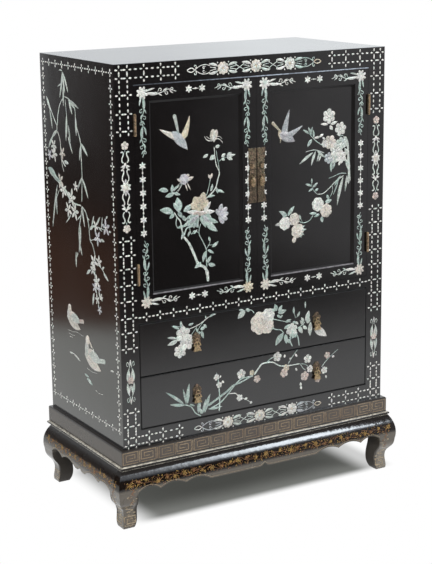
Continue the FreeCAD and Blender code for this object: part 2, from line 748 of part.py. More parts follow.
def make_drawer_front(label, name, low, front_tall, bottom, posts_z):
    """A front with rounded edges, a groove for the bottom and two holes for the pull posts."""
    low_z = low + edge_gap
    high_z = low + front_tall - edge_gap
    points = [(-drawer_x, low_z), (drawer_x, low_z), (drawer_x, high_z), (-drawer_x, high_z)]
    body, plate = pad(name + "FrontBlank", "XZ_Plane", points, -front_back, front_thick)
    doc.recompute()
    depths = [face.CenterOfMass.y for face in plate.Shape.Faces]
    face_number = depths.index(min(depths)) + 1
    rounding = body.newObject("PartDesign::Fillet", name + "FrontRound")
    rounding.Base = (plate, [f"Face{face_number}"])
    bind(rounding, "Radius", front_round)
    holes = [bottom]
    for number, side in enumerate((-1, 1)):
        start = (side * pull_apart / 2, front, posts_z)
        holes.append(rod(f"{name}PostHole{number}", start, "y", post_radius + screw_fit, post_long + screw_fit))
    keep(label + "_drawer_front", cut(name + "Front", body, group(name + "FrontHoles", *holes)))


def pull_plate(name, x, z):
    """A lobed brass plate round the post."""
    lobes = []
    spots = [(lift(0), lobe_reach, lobe_radius), (lift(0), -lobe_reach, lobe_radius)]
    spots += [(ear_across * a, ear_rise * b, ear_radius) for a in (-1, 1) for b in (-1, 1)]
    for number, (across, rise, radius) in enumerate(spots):
        start = (x + across, plate_face, z + rise)
        lobes.append(rod(f"{name}Lobe{number}", start, "y", radius, plate_thick))
    blank = fuse(name + "Blank", *lobes)
    bore = rod(name + "Bore", (x, plate_face - screw_fit, z), "y", post_radius, plate_thick + screw_fit * 2)
    return cut(name, blank, bore)


def pull_drop(name, x, z):
    """A pull: ring, hoop with a stem, bar and bell, cast in one."""
    ring_z = z + post_radius + ring_wire + ring_play - ring_radius
    ring = hoop(name + "Ring", (x, drop_y, ring_z), ring_radius, ring_wire)
    hoop_z = ring_z - ring_radius - hoop_radius + hoop_thick / 2
    deep = (drop_y - hoop_deep / 2, drop_y + hoop_deep / 2)
    disc = rod(name + "Disc", (x, deep[0], hoop_z), "y", hoop_radius, hoop_deep)
    eye = rod(name + "Eye", (x, deep[0], hoop_z), "y", hoop_radius - hoop_thick, hoop_deep)
    lower_half = block(name + "Half", (x - hoop_radius, x + hoop_radius), deep, (hoop_z - hoop_radius, hoop_z))
    arch = cut(name + "Arch", disc, fuse(name + "ArchTool", eye, lower_half))
    stem_x = (x - hoop_thick / 2, x + hoop_thick / 2)
    stem = block(name + "Stem", stem_x, deep, (hoop_z, hoop_z + hoop_radius - hoop_thick / 2))
    bar = block(name + "Bar", (x - bar_wide / 2, x + bar_wide / 2), deep, (hoop_z - hoop_thick, hoop_z))
    bell = doc.addObject("Part::Wedge", name + "Bell")
    bell_z = (hoop_z - hoop_thick - bell_tall, hoop_z - hoop_thick)
    ends = (("Xmin", -bell_wide / 2), ("Xmax", bell_wide / 2), ("X2min", -bell_top / 2),
            ("X2max", bell_top / 2), ("Zmin", -bell_deep / 2), ("Zmax", bell_deep / 2),
            ("Z2min", -hoop_deep / 2), ("Z2max", hoop_deep / 2), ("Ymin", lift(0)), ("Ymax", bell_tall))
    for where, what in ends:
        bind(bell, where, what)
    bell.Placement = FreeCAD.Placement(Vector(), Rotation(Vector(1, 0, 0), 90))
    for axis, where in zip("xyz", (x, drop_y, bell_z[0])):
        bind(bell, "Placement.Base." + axis, where)
    return fuse(name, ring, arch, stem, bar, bell)


def make_pulls(label, name, posts_z):
    mounts = []
    for side, word in ((-1, "left"), (1, "right")):
        x = side * pull_apart / 2
        piece = name + word.title()
        mounts.append(pull_plate(piece + "Plate", x, posts_z))
        mounts.append(eye_post(piece + "Post", x, posts_z, post_radius, ring_wire))
        keep(f"{label}_drawer_pull_{word}", pull_drop(piece + "Pull", x, posts_z))
    keep(label + "_drawer_pull_mounts", group(name + "Mounts", *mounts))


# Stand: a mitred rim with a bead, bulging scalloped aprons, and four curved legs.

rim_low = base - rim_tall
apron_top = rim_low - bead_tall
apron_low = apron_top - apron_drop
knee_high = apron_top - knee_drop


def bulge_over(drop):
    """How far the bulge stands out from the carcass at a drop from its widest place."""
    return knee_over - bulge_radius + root(bulge_radius * bulge_radius - drop * drop)


def rim_member(name, long_half, cross_half, degrees):
    """One mitred side of the rim: a bevelled band with a half-round bead under it."""
    over = long_half + bead_over
    outer = -(cross_half + rim_over)
    inner = outer + rim_wide
    bead_y = -(cross_half + bead_over - bead_tall / 2)
    band_points = [
        (outer, apron_top),
        (inner, apron_top),
        (inner, base),
        (outer + rim_bevel, base),
        (outer, base - rim_bevel),
    ]
    body = doc.addObject("PartDesign::Body", name + "Band")
    sketch = outline(body, "YZ_Plane", band_points, -over)
    band = body.newObject("PartDesign::Pad", name + "BandPad")
    band.Profile = sketch
    bind(band, "Length", over * 2)
    nose = rod(name + "Nose", (-over, bead_y, apron_top + bead_tall / 2), "x", bead_tall / 2, over * 2)
    web = block(name + "Web", (-over, over), (bead_y, outer + rim_bevel), (apron_top, rim_low))
    edge = -(cross_half + bead_over)
    reach = long_half - cross_half
    tool = wedge(name + "Mitre", (edge - reach, -(edge - reach)), (inner - reach, -(inner - reach)),
                 (edge, inner), (apron_top, base))
    return turned(common(name, fuse(name + "Long", body, nose, web), tool), degrees)


def flush_behind(member, waste):
    """A rim member cut flat behind the carcass, and set under the carcass instead of the stand's middle."""
    made = cut(member.Name + "Flush", member, waste)
    bind(made, "Placement.Base.y", carcass_middle)
    return made


def arch_tool(name, middle, chord, rise, deep):
    """A cylinder through the apron that leaves an arch in its edge."""
    radius = (chord * chord / 4 + rise * rise) / (rise * 2)
    start = (middle, deep[0], apron_low + cusp_lift + rise - radius)
    return rod(name, start, "y", radius, deep[1] - deep[0])


def peak_tool(name, deep):
    """A pointed arch: a block less the two round shoulders beside it."""
    half = peak_wide / 2
    radius = (half * half + peak_rise * peak_rise) / (peak_rise * 2)
    whole = block(name + "Block", (-half, half), deep, (apron_low - peak_rise, apron_low + peak_rise))
    shoulders = []
    for side in (-1, 1):
        start = (half * side, deep[0], apron_low + radius)
        shoulders.append(rod(f"{name}Shoulder{side + 1}", start, "y", radius, deep[1] - deep[0]))
    return cut(name, whole, fuse(name + "Shoulders", *shoulders))


def make_apron(label, long_half, cross_half, arches, degrees):
    """An apron between two legs: a curved board with arches and a peak in its lower edge."""
    name = label.replace("_", " ").title().replace(" ", "")
    reach = long_half - leg_in
    deep = (-(cross_half + knee_over), -(cross_half - apron_in))
    board = block(name + "Board", (-reach, reach), deep, (apron_low, apron_top))
    centre_y = -(cross_half + knee_over - bulge_radius)
    drum = rod(name + "Drum", (-reach, centre_y, knee_high), "x", bulge_radius, reach * 2)
    curved = common(name + "Curved", board, drum)
    tools = [peak_tool(name + "Peak", deep)]
    place = reach
    for number, (chord, rise) in enumerate(arches):
        middle = place - chord / 2
        for side in (-1, 1):
            tools.append(arch_tool(f"{name}Arch{number}{side + 1}", middle * side, chord, rise, deep))
        place = place - chord
    keep(label, turned(cut(name, curved, fuse(name + "Edge", *tools)), degrees))


def make_knee():
    """The top of a leg: a block cut to the same curve as the two aprons beside it."""
    x = (-(half_wide + knee_over), -(half_wide - leg_in))
    y = (-(stand_half + knee_over), -(stand_half - leg_in))
    blank = block("KneeBlock", x, y, (apron_low, apron_top))
    long = knee_over + leg_in
    drum_x = rod("KneeDrumX", (x[0], y[0] + bulge_radius, knee_high), "x", bulge_radius, long)
    drum_y = rod("KneeDrumY", (x[0] + bulge_radius, y[0], knee_high), "y", bulge_radius, long)
    return common("Knee", common("KneeFront", blank, drum_x), drum_y)


def make_leg():
    """A curved leg: the knee, then a loft through squares down to the sole."""
    low_drop = apron_drop - knee_drop
    turn_drop = low_drop + (apron_low - calf_high) / 4
    sections = [
        (apron_low, bulge_over(low_drop), leg_in),
        (knee_high - turn_drop, bulge_over(turn_drop), leg_in),
        (calf_high, calf_over, calf_in),
        (shin_high, shin_over, shin_in),
        (ankle_high, ankle_over, ankle_in),
        (foot_high, foot_over, foot_in),
        (lift(0), sole_over, sole_in),
    ]
    body = doc.addObject("PartDesign::Body", "Leg")
    sketches = []
    for height, over, inward in sections:
        low_x, high_x = -(half_wide + over), -(half_wide - inward)
        low_y, high_y = -(stand_half + over), -(stand_half - inward)
        points = [(low_x, low_y), (high_x, low_y), (high_x, high_y), (low_x, high_y)]
        sketches.append(outline(body, "XY_Plane", points, height))
    loft = body.newObject("PartDesign::AdditiveLoft", "LegLoft")
    loft.Profile = sketches[0]
    loft.Sections = sketches[1:]
    loft.Ruled = False
    loft.Closed = False
    return fuse("LegWhole", make_knee(), body)


def make_stand():
    leg = make_leg()
    both_sides("stand_leg_front_*", leg)
    back_leg = mirror("LegBack", leg, Vector(0, 1, 0))
    both_sides("stand_leg_back_*", back_leg)
    long_arches = [(first_arch, first_rise), (second_arch, second_rise), (third_arch, third_rise)]
    make_apron("stand_apron_front", half_wide, stand_half, long_arches, 0)
    make_apron("stand_apron_back", half_wide, stand_half, long_arches, 180)
    make_apron("stand_apron_right", stand_half, half_wide, long_arches[:2], 90)
    make_apron("stand_apron_left", stand_half, half_wide, long_arches[:2], 270)
    members = [
        rim_member("RimFront", half_wide, half_deep, 0),
        rim_member("RimRight", half_deep, half_wide, 90),
        rim_member("RimBack", half_wide, half_deep, 180),
        rim_member("RimLeft", half_deep, half_wide, 270),
    ]
    over = half_wide + bead_over
    waste = block("RimWaste", (-over, over), (half_deep + back_over, half_deep + bead_over), (apron_top, base))
    keep("stand_rim", group("Rim", *[flush_behind(member, waste) for member in members]))
    reach = half_deep + rim_over - rim_wide
    middle = -bearer_apart / 2
    bearer = block("Bearer", (middle - bearer_wide / 2, middle + bearer_wide / 2),
                   (carcass_middle - reach, carcass_middle + reach), (base - bearer_thick, base))
    keep("stand_cross_bearers", group("Bearers", bearer, mirror("BearerRight", bearer)))


make_carcass()
make_hinges(make_face_frame())
make_inside()
make_runners()
make_door_frame()
make_lock_plate()
make_door_fasteners()
make_door_hinge_leaves()
make_door_drop()
make_drawer("lower", lower_bottom, lower_front_tall, upper_bottom - runner_thick)
make_drawer("upper", upper_bottom, upper_front_tall, middle_bottom)
make_stand()
doc.recompute()

for thing in doc.Objects:
    broken = [word for word in ("Invalid", "Error") if word in thing.State]
    if broken:
        raise RuntimeError(f"{thing.Name} is {broken[0]}")
for label, thing in kept.items():
    if thing.Shape.isNull() or not thing.Shape.isValid():
        raise RuntimeError(f"{label} has no valid shape")

os.makedirs("parts", exist_ok=True)
for label, thing in kept.items():
    thing.Shape.exportStep(f"parts/{label}.step")
print(len(kept), "sub-parts written")
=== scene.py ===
import json
import math

import bpy
import numpy as np
from bpy.props import FloatProperty, FloatVectorProperty, IntProperty, PointerProperty
from mathutils import Matrix, Vector


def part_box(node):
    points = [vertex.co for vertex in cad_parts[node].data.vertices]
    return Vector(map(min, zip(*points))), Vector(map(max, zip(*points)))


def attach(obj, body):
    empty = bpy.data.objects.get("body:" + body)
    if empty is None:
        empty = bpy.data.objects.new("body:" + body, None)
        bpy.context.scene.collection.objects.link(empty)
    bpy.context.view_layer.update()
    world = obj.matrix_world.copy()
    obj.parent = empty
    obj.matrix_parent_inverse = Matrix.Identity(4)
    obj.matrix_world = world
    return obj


bl_info = {
    "name": "Lacquer Cabinet On Stand",
    "version": (1, 0, 0),
    "blender": (4, 5, 0),
    "location": "3D View > Sidebar > Cabinet",
    "description": "Finishes, shell inlay, gilding and brass of a black lacquer cabinet on its stand",
    "category": "Object",
}

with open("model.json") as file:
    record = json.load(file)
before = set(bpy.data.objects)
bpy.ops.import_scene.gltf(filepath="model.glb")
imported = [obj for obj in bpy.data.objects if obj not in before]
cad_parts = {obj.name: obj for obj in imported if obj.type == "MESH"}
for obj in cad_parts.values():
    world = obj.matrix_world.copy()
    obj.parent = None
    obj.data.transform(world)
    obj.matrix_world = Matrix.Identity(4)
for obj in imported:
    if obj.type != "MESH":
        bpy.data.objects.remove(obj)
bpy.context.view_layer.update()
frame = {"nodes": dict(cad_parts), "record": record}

MM = 0.001
RIGHT = (1.0, 0.0, 0.0)
LEFT = (-1.0, 0.0, 0.0)
FORWARD = (0.0, -1.0, 0.0)
BACKWARD = (0.0, 1.0, 0.0)
UP = (0.0, 0.0, 1.0)

# the case, its doors and its drawers, in metres
SIDE = -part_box("carcass_side_left")[0].x
FRONT, DOOR_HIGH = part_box("face_rail_top")[0].yz
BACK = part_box("carcass_back")[1].y
FLOOR_OF_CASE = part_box("carcass_bottom")[0].z
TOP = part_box("carcass_top")[1].z
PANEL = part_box("left_door_panel")[0].y
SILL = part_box("left_door_bead")[0].z
DOOR_SIDE = -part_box("left_door_stiles")[0].x
DRAWER_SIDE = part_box("lower_drawer_front")[1].x
DRAWERS_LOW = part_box("lower_drawer_front")[0].z
DRAWERS_MIDDLE = 0.5 * (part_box("lower_drawer_front")[1].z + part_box("upper_drawer_front")[0].z)
DRAWERS_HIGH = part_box("upper_drawer_front")[1].z

# the hinges, and the round boss painted in light and shade on a lock plate: its place on the plate and its
# radius
HINGE_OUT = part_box("hinge_pins")[1].x - 0.003
LOCK_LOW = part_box("left_door_lock_plate")[0].z
BOSS_ASIDE, BOSS_HIGH, BOSS_OUT = 0.016, 0.098, 0.008

# heights on the stand: the aprons' lower edge, the swelling face, the bead over it and the rim
APRON_LOW, BAND_LOW, BEAD_LOW, BEAD_HIGH = 0.097, 0.1125, 0.164, 0.171
RIM_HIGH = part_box("stand_rim")[1].z


# ---------------------------------------------------------------- settings


def length(label, default, text):
    """A size in metres that the sidebar shows."""
    return FloatProperty(name=label, description=text, default=default, min=0.0, unit="LENGTH")


def angle(label, degrees, text):
    return FloatProperty(name=label, description=text, default=math.radians(degrees), unit="ROTATION")


def watts(label, default, text):
    return FloatProperty(name=label, description=text, default=default, min=0.0, unit="POWER")


def paint(label, default, text):
    """A colour, from its shade as painted."""
    looks = {"name": label, "description": text, "default": linear(default)}
    return FloatVectorProperty(min=0.0, max=1.0, size=3, subtype="COLOR", **looks)


def linear(shade):
    """Light values of a six-digit shade: ((s + 0.055) / 1.055) to the power 2.4, or s / 12.92 near black."""
    parts = np.array([int(shade[i : i + 2], 16) for i in (0, 2, 4)]) / 255.0
    light = np.where(parts > 0.04045, ((parts + 0.055) / 1.055) ** 2.4, parts / 12.92)
    return tuple(float(v) for v in light)


class CabinetSizes(bpy.types.PropertyGroup):
    shell_rise: length("Shell rise", 0.0006, "How far the shell pieces stand proud of the lacquer")
    shell_set: length("Shell set", 0.0004, "How deep the shell pieces are let into the lacquer")
    petal_length: length("Lattice petal", 0.0088, "Length of one petal of a lattice cross")
    petal_width: length("Lattice petal width", 0.0054, "Width of one petal of a lattice cross")
    gilt_rise: length("Gilding rise", 0.0003, "How far the gold paint stands proud")
    fret_line: length("Fret line", 0.0021, "Width of the painted lines of the fret")
    fret_gap: length("Fret step", 0.0072, "From one line of the fret to the next")
    fret_count: IntProperty(name="Fret units", description="Square spirals along the rim", default=16, min=2)


class CabinetColors(bpy.types.PropertyGroup):
    lacquer: paint("Lacquer", "0d0b0b", "Black lacquer of the case")
    rim: paint("Rim ground", "42372d", "Grey-brown ground of the rim and the stand")
    # its black is also the painted shade inside the legs and round the bead and the rim
    band: paint("Band ground", "15100d", "Black ground under the gilt flowers")
    wood: paint("Wood", "8a6340", "Plain wood inside the case")
    brass: paint("Brass", "b09a74", "Rubbed brass of the drops and pulls")
    bronze: paint("Bronze", "8a7a62", "Dull brass of the plates and hinges")
    gilt_line: paint("Gilt lines", "8c7a60", "Rubbed gold of the fret")
    gilt_edge: paint("Gilt edge", "b8a88c", "Pale gold of the edge line and the keys on the feet")
    gilt_yellow: paint("Yellow gilding", "a88848", "Yellow gold of the flowers on the stand")
    gilt_red: paint("Red gilding", "7a5232", "Red gold of the leaves on the stand")
    shell_white: paint("White shell", "dcdcd6", "Shell of the lattice and stars")
    shell_cream: paint("Cream shell", "d6ccc0", "Shell of the large flowers")
    shell_lilac: paint("Lilac shell", "bcbac2", "Shell of the small flowers")
    shell_green: paint("Green shell", "a4bab2", "Shell of the leaves and stems")
    shell_pale: paint("Pale green shell", "c4cec6", "Thick stems and the leaves high up")
    shell_grey: paint("Grey shell", "b2b6bc", "Wings of the birds")
    shell_rose: paint("Rose shell", "c8b2a8", "Shell of the rosy flowers")
    shell_tan: paint("Tan shell", "cfc0a4", "Shell of the birds and the deep petals")


class StageSettings(bpy.types.PropertyGroup):
    eye: FloatVectorProperty(
        name="Eye",
        description="Where the camera stands",
        default=(-2.0659, -3.4742, 1.5514),
        unit="LENGTH",
        subtype="TRANSLATION",
    )
    turn: angle("Turn", 29.92, "Which way the camera looks, from straight back")
    tilt: angle("Tilt", 12.89, "How far the camera looks down")
    roll: angle("Roll", -0.87, "How far the camera leans")
    key_lamp: watts("Key lamp", 165.0, "Power of the large front lamp")
    left_lamp: watts("Left lamp", 70.0, "Power of the left lamp")
    top_lamp: watts("Top lamp", 60.0, "Power of the overhead lamp")
    rear_lamp: watts("Rear lamp", 60.0, "Power of the lamp behind")
    right_lamp: watts("Right lamp", 60.0, "Power of the right lamp")


# ---------------------------------------------------------------- shader maths


class Value:
    """A shader socket that takes part in sums."""

    def __init__(self, sketch, socket):
        self.sketch = sketch
        self.socket = socket

    def math(self, operation, *others):
        return self.sketch.math(operation, self, *others)

    def __add__(self, other):
        return self.math("ADD", other)

    def __sub__(self, other):
        return self.math("SUBTRACT", other)

    def __rsub__(self, other):
        return self.sketch.math("SUBTRACT", other, self)

    def __mul__(self, other):
        return self.math("MULTIPLY", other)

    __radd__ = __add__
    __rmul__ = __mul__


class Sketch:
    """The nodes of one finish, or of the world."""

    def __init__(self, owner):
        owner.use_nodes = True
        self.owner = owner
        self.tree = owner.node_tree
        self.tree.nodes.clear()

    def add(self, kind, inputs=None, settings=None, output=0):
        """A node of a kind: its settings come first, then the values or links of its sockets."""
        node = self.tree.nodes.new(kind)
        for name, setting in (settings or {}).items():
            if name == "stops":
                set_stops(node.color_ramp, setting)
            else:
                setattr(node, name, setting)
        for name, value in (inputs or {}).items():
            if isinstance(value, Value):
                self.tree.links.new(value.socket, node.inputs[name])
            else:
                node.inputs[name].default_value = value
        return Value(self, node.outputs[output]) if len(node.outputs) else None

    def math(self, operation, *values):
        return self.add("ShaderNodeMath", dict(enumerate(values)), {"operation": operation})

    def place(self, scale=(1.0, 1.0, 1.0), turn=(0.0, 0.0, 0.0)):
        """The object's own coordinates, stretched and turned."""
        own = self.add("ShaderNodeTexCoord", output="Object")
        return self.add("ShaderNodeMapping", {"Vector": own, "Scale": scale, "Rotation": turn})

    def axes(self, vector):
        parts = self.add("ShaderNodeSeparateXYZ", {"Vector": vector}).socket.node
        return [Value(self, parts.outputs[i]) for i in range(3)]

    def noise(self, vector, scale, detail=3.0, distortion=0.0):
        inputs = {"Vector": vector, "Scale": scale, "Detail": detail, "Distortion": distortion}
        return self.add("ShaderNodeTexNoise", {**inputs, "Roughness": 0.55})

    def span(self, value, low, high, start=0.0, end=1.0):
        """A value from low to high laid smoothly over start to end, and held outside them."""
        inputs = {"Value": value, "From Min": low, "From Max": high, "To Min": start, "To Max": end}
        return self.add("ShaderNodeMapRange", inputs, {"interpolation_type": "SMOOTHSTEP", "clamp": True})

    def fade(self, value, low, high):
        """1 up to low, falling smoothly to 0 at high."""
        return self.span(value, low, high, 1.0, 0.0)

    def slab(self, value, first, full, last, end):
        """0 up to first, 1 from full to last, and 0 again from end."""
        return self.span(value, first, full) * self.fade(value, last, end)

    def blend(self, factor, first, second, way="MIX"):
        """Two colours mixed by a factor."""
        inputs = {0: factor, 6: solid(first), 7: solid(second)}
        return self.add("ShaderNodeMix", inputs, {"data_type": "RGBA", "blend_type": way}, 2)

    def layers(self, shade, *coats):
        """Coats over a shade: each a field, where it starts and is full, its tone and maybe its share."""
        for field, start, full, tone, *share in coats:
            shade = self.blend(self.span(field, start, full, 0.0, *(share or (1.0,))), shade, tone)
        return shade

    def attribute(self, name, output):
        return self.add("ShaderNodeAttribute", settings={"attribute_name": name}, output=output)

    def bump(self, height, strength, distance=0.001):
        return self.add("ShaderNodeBump", {"Height": height, "Strength": strength, "Distance": distance})

    def surface(self, **inputs):
        """The Principled shader with these sockets, and the output."""
        inputs["base_color"] = solid(inputs["base_color"])
        named = {name.replace("_", " ").title().replace("Ior", "IOR"): inputs[name] for name in inputs}
        return self.shown(self.add("ShaderNodeBsdfPrincipled", named))

    def glow(self, color, strength=1.0):
        return self.add("ShaderNodeEmission", {"Color": solid(color), "Strength": strength})

    def shown(self, shader):
        """The material whose surface is this shader."""
        self.add("ShaderNodeOutputMaterial", {"Surface": shader})
        return self.owner


def material_sketch(name):
    return Sketch(bpy.data.materials.new(name))


def solid(color):
    """A colour with its alpha, from its numbers or its shade, or a link as it is."""
    if isinstance(color, Value):
        return color
    return (*tuple(linear(color) if isinstance(color, str) else color)[:3], 1.0)


def set_stops(ramp, stops):
    while len(ramp.elements) < len(stops):
        ramp.elements.new(1.0)
    for element, (position, shade) in zip(ramp.elements, stops):
        element.position = position
        element.color = solid(shade)


def scaled(color, factor):
    return tuple(min(1.0, float(v) * factor) for v in tuple(color)[:3])


# ---------------------------------------------------------------- finishes


def lacquer_finish(colors, name="black_lacquer"):
    """Black lacquer: a faint brown mottle and soft unevenness, with the case's dust and painted light, or a
    door bead's painted highlight.
    """
    sketch = material_sketch(name)
    own = sketch.place()
    cloud = sketch.noise(own, 7.0, 4.0)
    fine = sketch.noise(own, 95.0)
    swell = sketch.noise(own, 24.0, 2.0)
    brown = (cloud, 0.35, 0.75, scaled(colors.lacquer, 1.7))
    specks = (sketch.noise(own, 420.0, 2.0), 0.68, 0.78, scaled(colors.rim, 1.2), 0.25)
    shade = sketch.layers(colors.lacquer, brown, specks)
    rough = 0.13 + 0.07 * cloud + 0.05 * fine
    # the case's dust, painted highlight and painted gap shade, or the bead's painted highlight
    worn = bead_sill_highlight if name == "bead_lacquer" else case_dust_highlight_and_gap_shade
    shade, rough, coat = worn(sketch, sketch.axes(own), fine, shade, rough)
    return sketch.surface(
        base_color=shade,
        roughness=rough,
        ior=1.5,
        coat_weight=coat,
        coat_roughness=0.06,
        coat_ior=1.45,
        normal=sketch.bump(swell + 0.12 * fine, 0.10, 0.002),
    )


def bead_sill_highlight(sketch, place, fine, shade, rough):
    """A painted highlight along the foot of the bead, as a grey line, and a coat that dulls upwards."""
    height = place[2]
    # painted highlight: a grey line on the lowest few millimetres of the bead
    foot = sketch.fade(height, SILL + 0.0025, SILL + 0.0035)
    shade = sketch.blend(foot * sketch.span(fine, 0.35, 0.6, 0.5, 1.0), shade, "7a777b")
    return shade, rough + 0.35, sketch.fade(height, SILL + 0.02, SILL + 0.3)


def case_dust_highlight_and_gap_shade(sketch, place, fine, shade, rough):
    """Streaks of dust on the top, a painted highlight along the top edge of the doors, and painted shade in
    the gaps round the drawers.
    """
    x, y, height = place
    aside = x.math("ABSOLUTE")
    streak = sketch.noise(sketch.place((2.0, 34.0, 2.0), (0.0, 0.0, 0.35)), 2.6, 4.0)
    dust = sketch.span(height, TOP - 0.0012, TOP - 0.0006) * sketch.span(streak, 0.35, 0.75, 0.14, 0.36)
    shade = sketch.blend(dust, shade, "b4bbc0")
    # painted highlight: a pale line along the top edge of the doors, brighter to the right
    edge = sketch.slab(height, DOOR_HIGH - 0.0006, DOOR_HIGH - 0.0002, DOOR_HIGH + 0.0022, DOOR_HIGH + 0.003)
    edge = edge * sketch.fade(y, FRONT + 0.001, FRONT + 0.003)
    edge = edge * sketch.fade(aside, DOOR_SIDE, DOOR_SIDE + 0.001)
    edge = edge * (sketch.span(x, -0.35, -0.03, 0.12, 0.5) + sketch.span(x, -0.01, 0.01, 0.0, 0.3))
    shade = sketch.blend(edge * sketch.span(fine, 0.3, 0.6, 0.4, 1.0), shade, "a8b2c0")
    # painted shade: dark, duller bands a few millimetres wide along the gaps round the drawers
    gaps = sketch.fade((aside - DRAWER_SIDE).math("ABSOLUTE"), 0.0014, 0.0024)
    for level in (DRAWERS_LOW, DRAWERS_MIDDLE, DRAWERS_HIGH):
        gaps = gaps.math("MAXIMUM", sketch.fade((height - level).math("ABSOLUTE"), 0.0024, 0.0034))
    gaps = gaps * sketch.fade(aside, DRAWER_SIDE + 0.002, DRAWER_SIDE + 0.003)
    around = (DRAWERS_LOW - 0.003, DRAWERS_LOW - 0.002, DRAWERS_HIGH + 0.002, DRAWERS_HIGH + 0.003)
    gaps = gaps * sketch.slab(height, *around)
    return sketch.blend(gaps * 0.95, shade, "0a0a0a"), rough + 0.5 * gaps, 1.0 - 0.95 * gaps


# how far the polish of the swelling face leans back, as a rise of the bump's height for each metre up
FACE_LEAN = 230.0


def stand_finish(colors):
    """Grey-brown lacquer, greyer low down, black round the swelling face; painted shade and light by the
    legs, bead and rim.
    """
    sketch = material_sketch("stand_lacquer")
    own = sketch.place()
    x, y, z = sketch.axes(own)
    cloud = sketch.noise(own, 11.0, 5.0)
    fine = sketch.noise(own, 120.0)
    streak = sketch.noise(sketch.place((6.0, 6.0, 60.0)), 3.0, 4.0)
    shade = sketch.layers(
        scaled(colors.rim, 0.7),
        (cloud, 0.3, 0.75, colors.rim),
        (streak, 0.55, 0.8, scaled(colors.rim, 1.6), 0.3),
        (fine, 0.56, 0.7, scaled(colors.rim, 0.45), 0.35),
        (z, APRON_LOW + 0.021, APRON_LOW + 0.014, "8a8676", 0.15),
    )
    # painted light: the legs on the right, below the aprons, a little paler
    right_leg_light = sketch.fade(z, APRON_LOW - 0.03, APRON_LOW - 0.01) * sketch.span(x, 0.0, 0.1)
    shade = sketch.blend(0.3 * right_leg_light, shade, "a09a90")
    ragged = z + 0.003 * (sketch.noise(own, 160.0, 2.0) - 0.5)
    swell = sketch.span(ragged, BAND_LOW - 0.004, BAND_LOW + 0.005)
    swell = swell * sketch.fade(z, BEAD_HIGH, BEAD_HIGH + 0.0005)
    # painted shade: the inner faces of the legs, below the aprons, darkened towards the band's black
    inward_x = sketch.fade(x.math("ABSOLUTE"), SIDE - 0.024, SIDE - 0.016)
    inward_y = sketch.fade(y.math("ABSOLUTE"), -FRONT - 0.024, -FRONT - 0.016)
    inner = inward_x.math("MAXIMUM", inward_y) * sketch.fade(z, APRON_LOW - 0.006, APRON_LOW + 0.002)
    shade = sketch.blend(swell.math("MAXIMUM", inner * 0.7), shade, colors.band)
    # painted highlights: pale lines along the top of the bead and, fainter, along its foot
    upper = sketch.slab(z, BEAD_HIGH - 0.0014, BEAD_HIGH - 0.001, BEAD_HIGH, BEAD_HIGH + 0.0006)
    lower = sketch.slab(z, BEAD_LOW - 0.0024, BEAD_LOW - 0.0022, BEAD_LOW - 0.0012, BEAD_LOW - 0.001)
    rubbed = (upper * 0.95).math("MAXIMUM", lower * 0.5) * sketch.span(fine, 0.35, 0.6, 0.35, 1.0)
    shade = sketch.blend(rubbed, shade, "c8c2b4")
    # painted shade: a dark line between bead and rim, a painted shadow along the top of the rim under the
    # case, and the rim's left face darkened
    notch_shadow = sketch.slab(z, BEAD_HIGH + 0.0008, BEAD_HIGH + 0.001, BEAD_HIGH + 0.0042, BEAD_HIGH + 0.005)
    under_case_shadow = sketch.slab(z, RIM_HIGH - 0.0045, RIM_HIGH - 0.0035, RIM_HIGH, RIM_HIGH + 0.001)
    beside = sketch.fade(x, -SIDE - 0.0125, -SIDE - 0.0115) * sketch.span(z, BEAD_HIGH, BEAD_HIGH + 0.001)
    for black in (notch_shadow * 0.85, under_case_shadow * 0.8, beside * 0.6):
        shade = sketch.blend(black, shade, colors.band)
    face = swell * sketch.fade(y, FRONT, FRONT + 0.004)
    lean = z.math("MAXIMUM", BAND_LOW).math("MINIMUM", BEAD_LOW - 0.001)
    height = sketch.noise(own, 40.0) + 0.2 * fine - FACE_LEAN * lean
    return sketch.surface(
        base_color=shade,
        roughness=sketch.blend(face, 0.20 + 0.16 * cloud + 0.3 * inner, 0.07 + 0.05 * cloud),
        ior=1.5,
        coat_weight=(0.7 - 0.65 * beside) * (1.0 - inner) * (1.0 - face),
        coat_roughness=0.12,
        normal=sketch.bump(height, 1.0, 0.00032),
    )


def wood_finish(colors):
    """Plain straight-grained wood: rings stretched along the board, with pores."""
    sketch = material_sketch("plain_wood")
    along = sketch.place((1.5, 16.0, 16.0))
    drift = sketch.noise(along, 2.2, 4.0, 0.8)
    inputs = {"Vector": along, "Scale": 1.6, "Distortion": 5.0, "Detail": 3.0}
    settings = {"wave_type": "BANDS", "bands_direction": "DIAGONAL"}
    rings = sketch.add("ShaderNodeTexWave", inputs, settings, "Fac")
    pores = sketch.noise(sketch.place((12.0, 260.0, 260.0)), 2.0, 2.0)
    shade = sketch.layers(
        sketch.blend(rings * 0.6, colors.wood, scaled(colors.wood, 0.55)),
        (drift, 0.4, 0.7, scaled(colors.wood, 1.25), 0.5),
        (pores, 0.62, 0.72, scaled(colors.wood, 0.3), 0.5),
    )
    bump = sketch.bump(pores + 0.4 * rings, 0.12, 0.0008)
    return sketch.surface(base_color=shade, roughness=0.5 + 0.2 * drift, normal=bump)


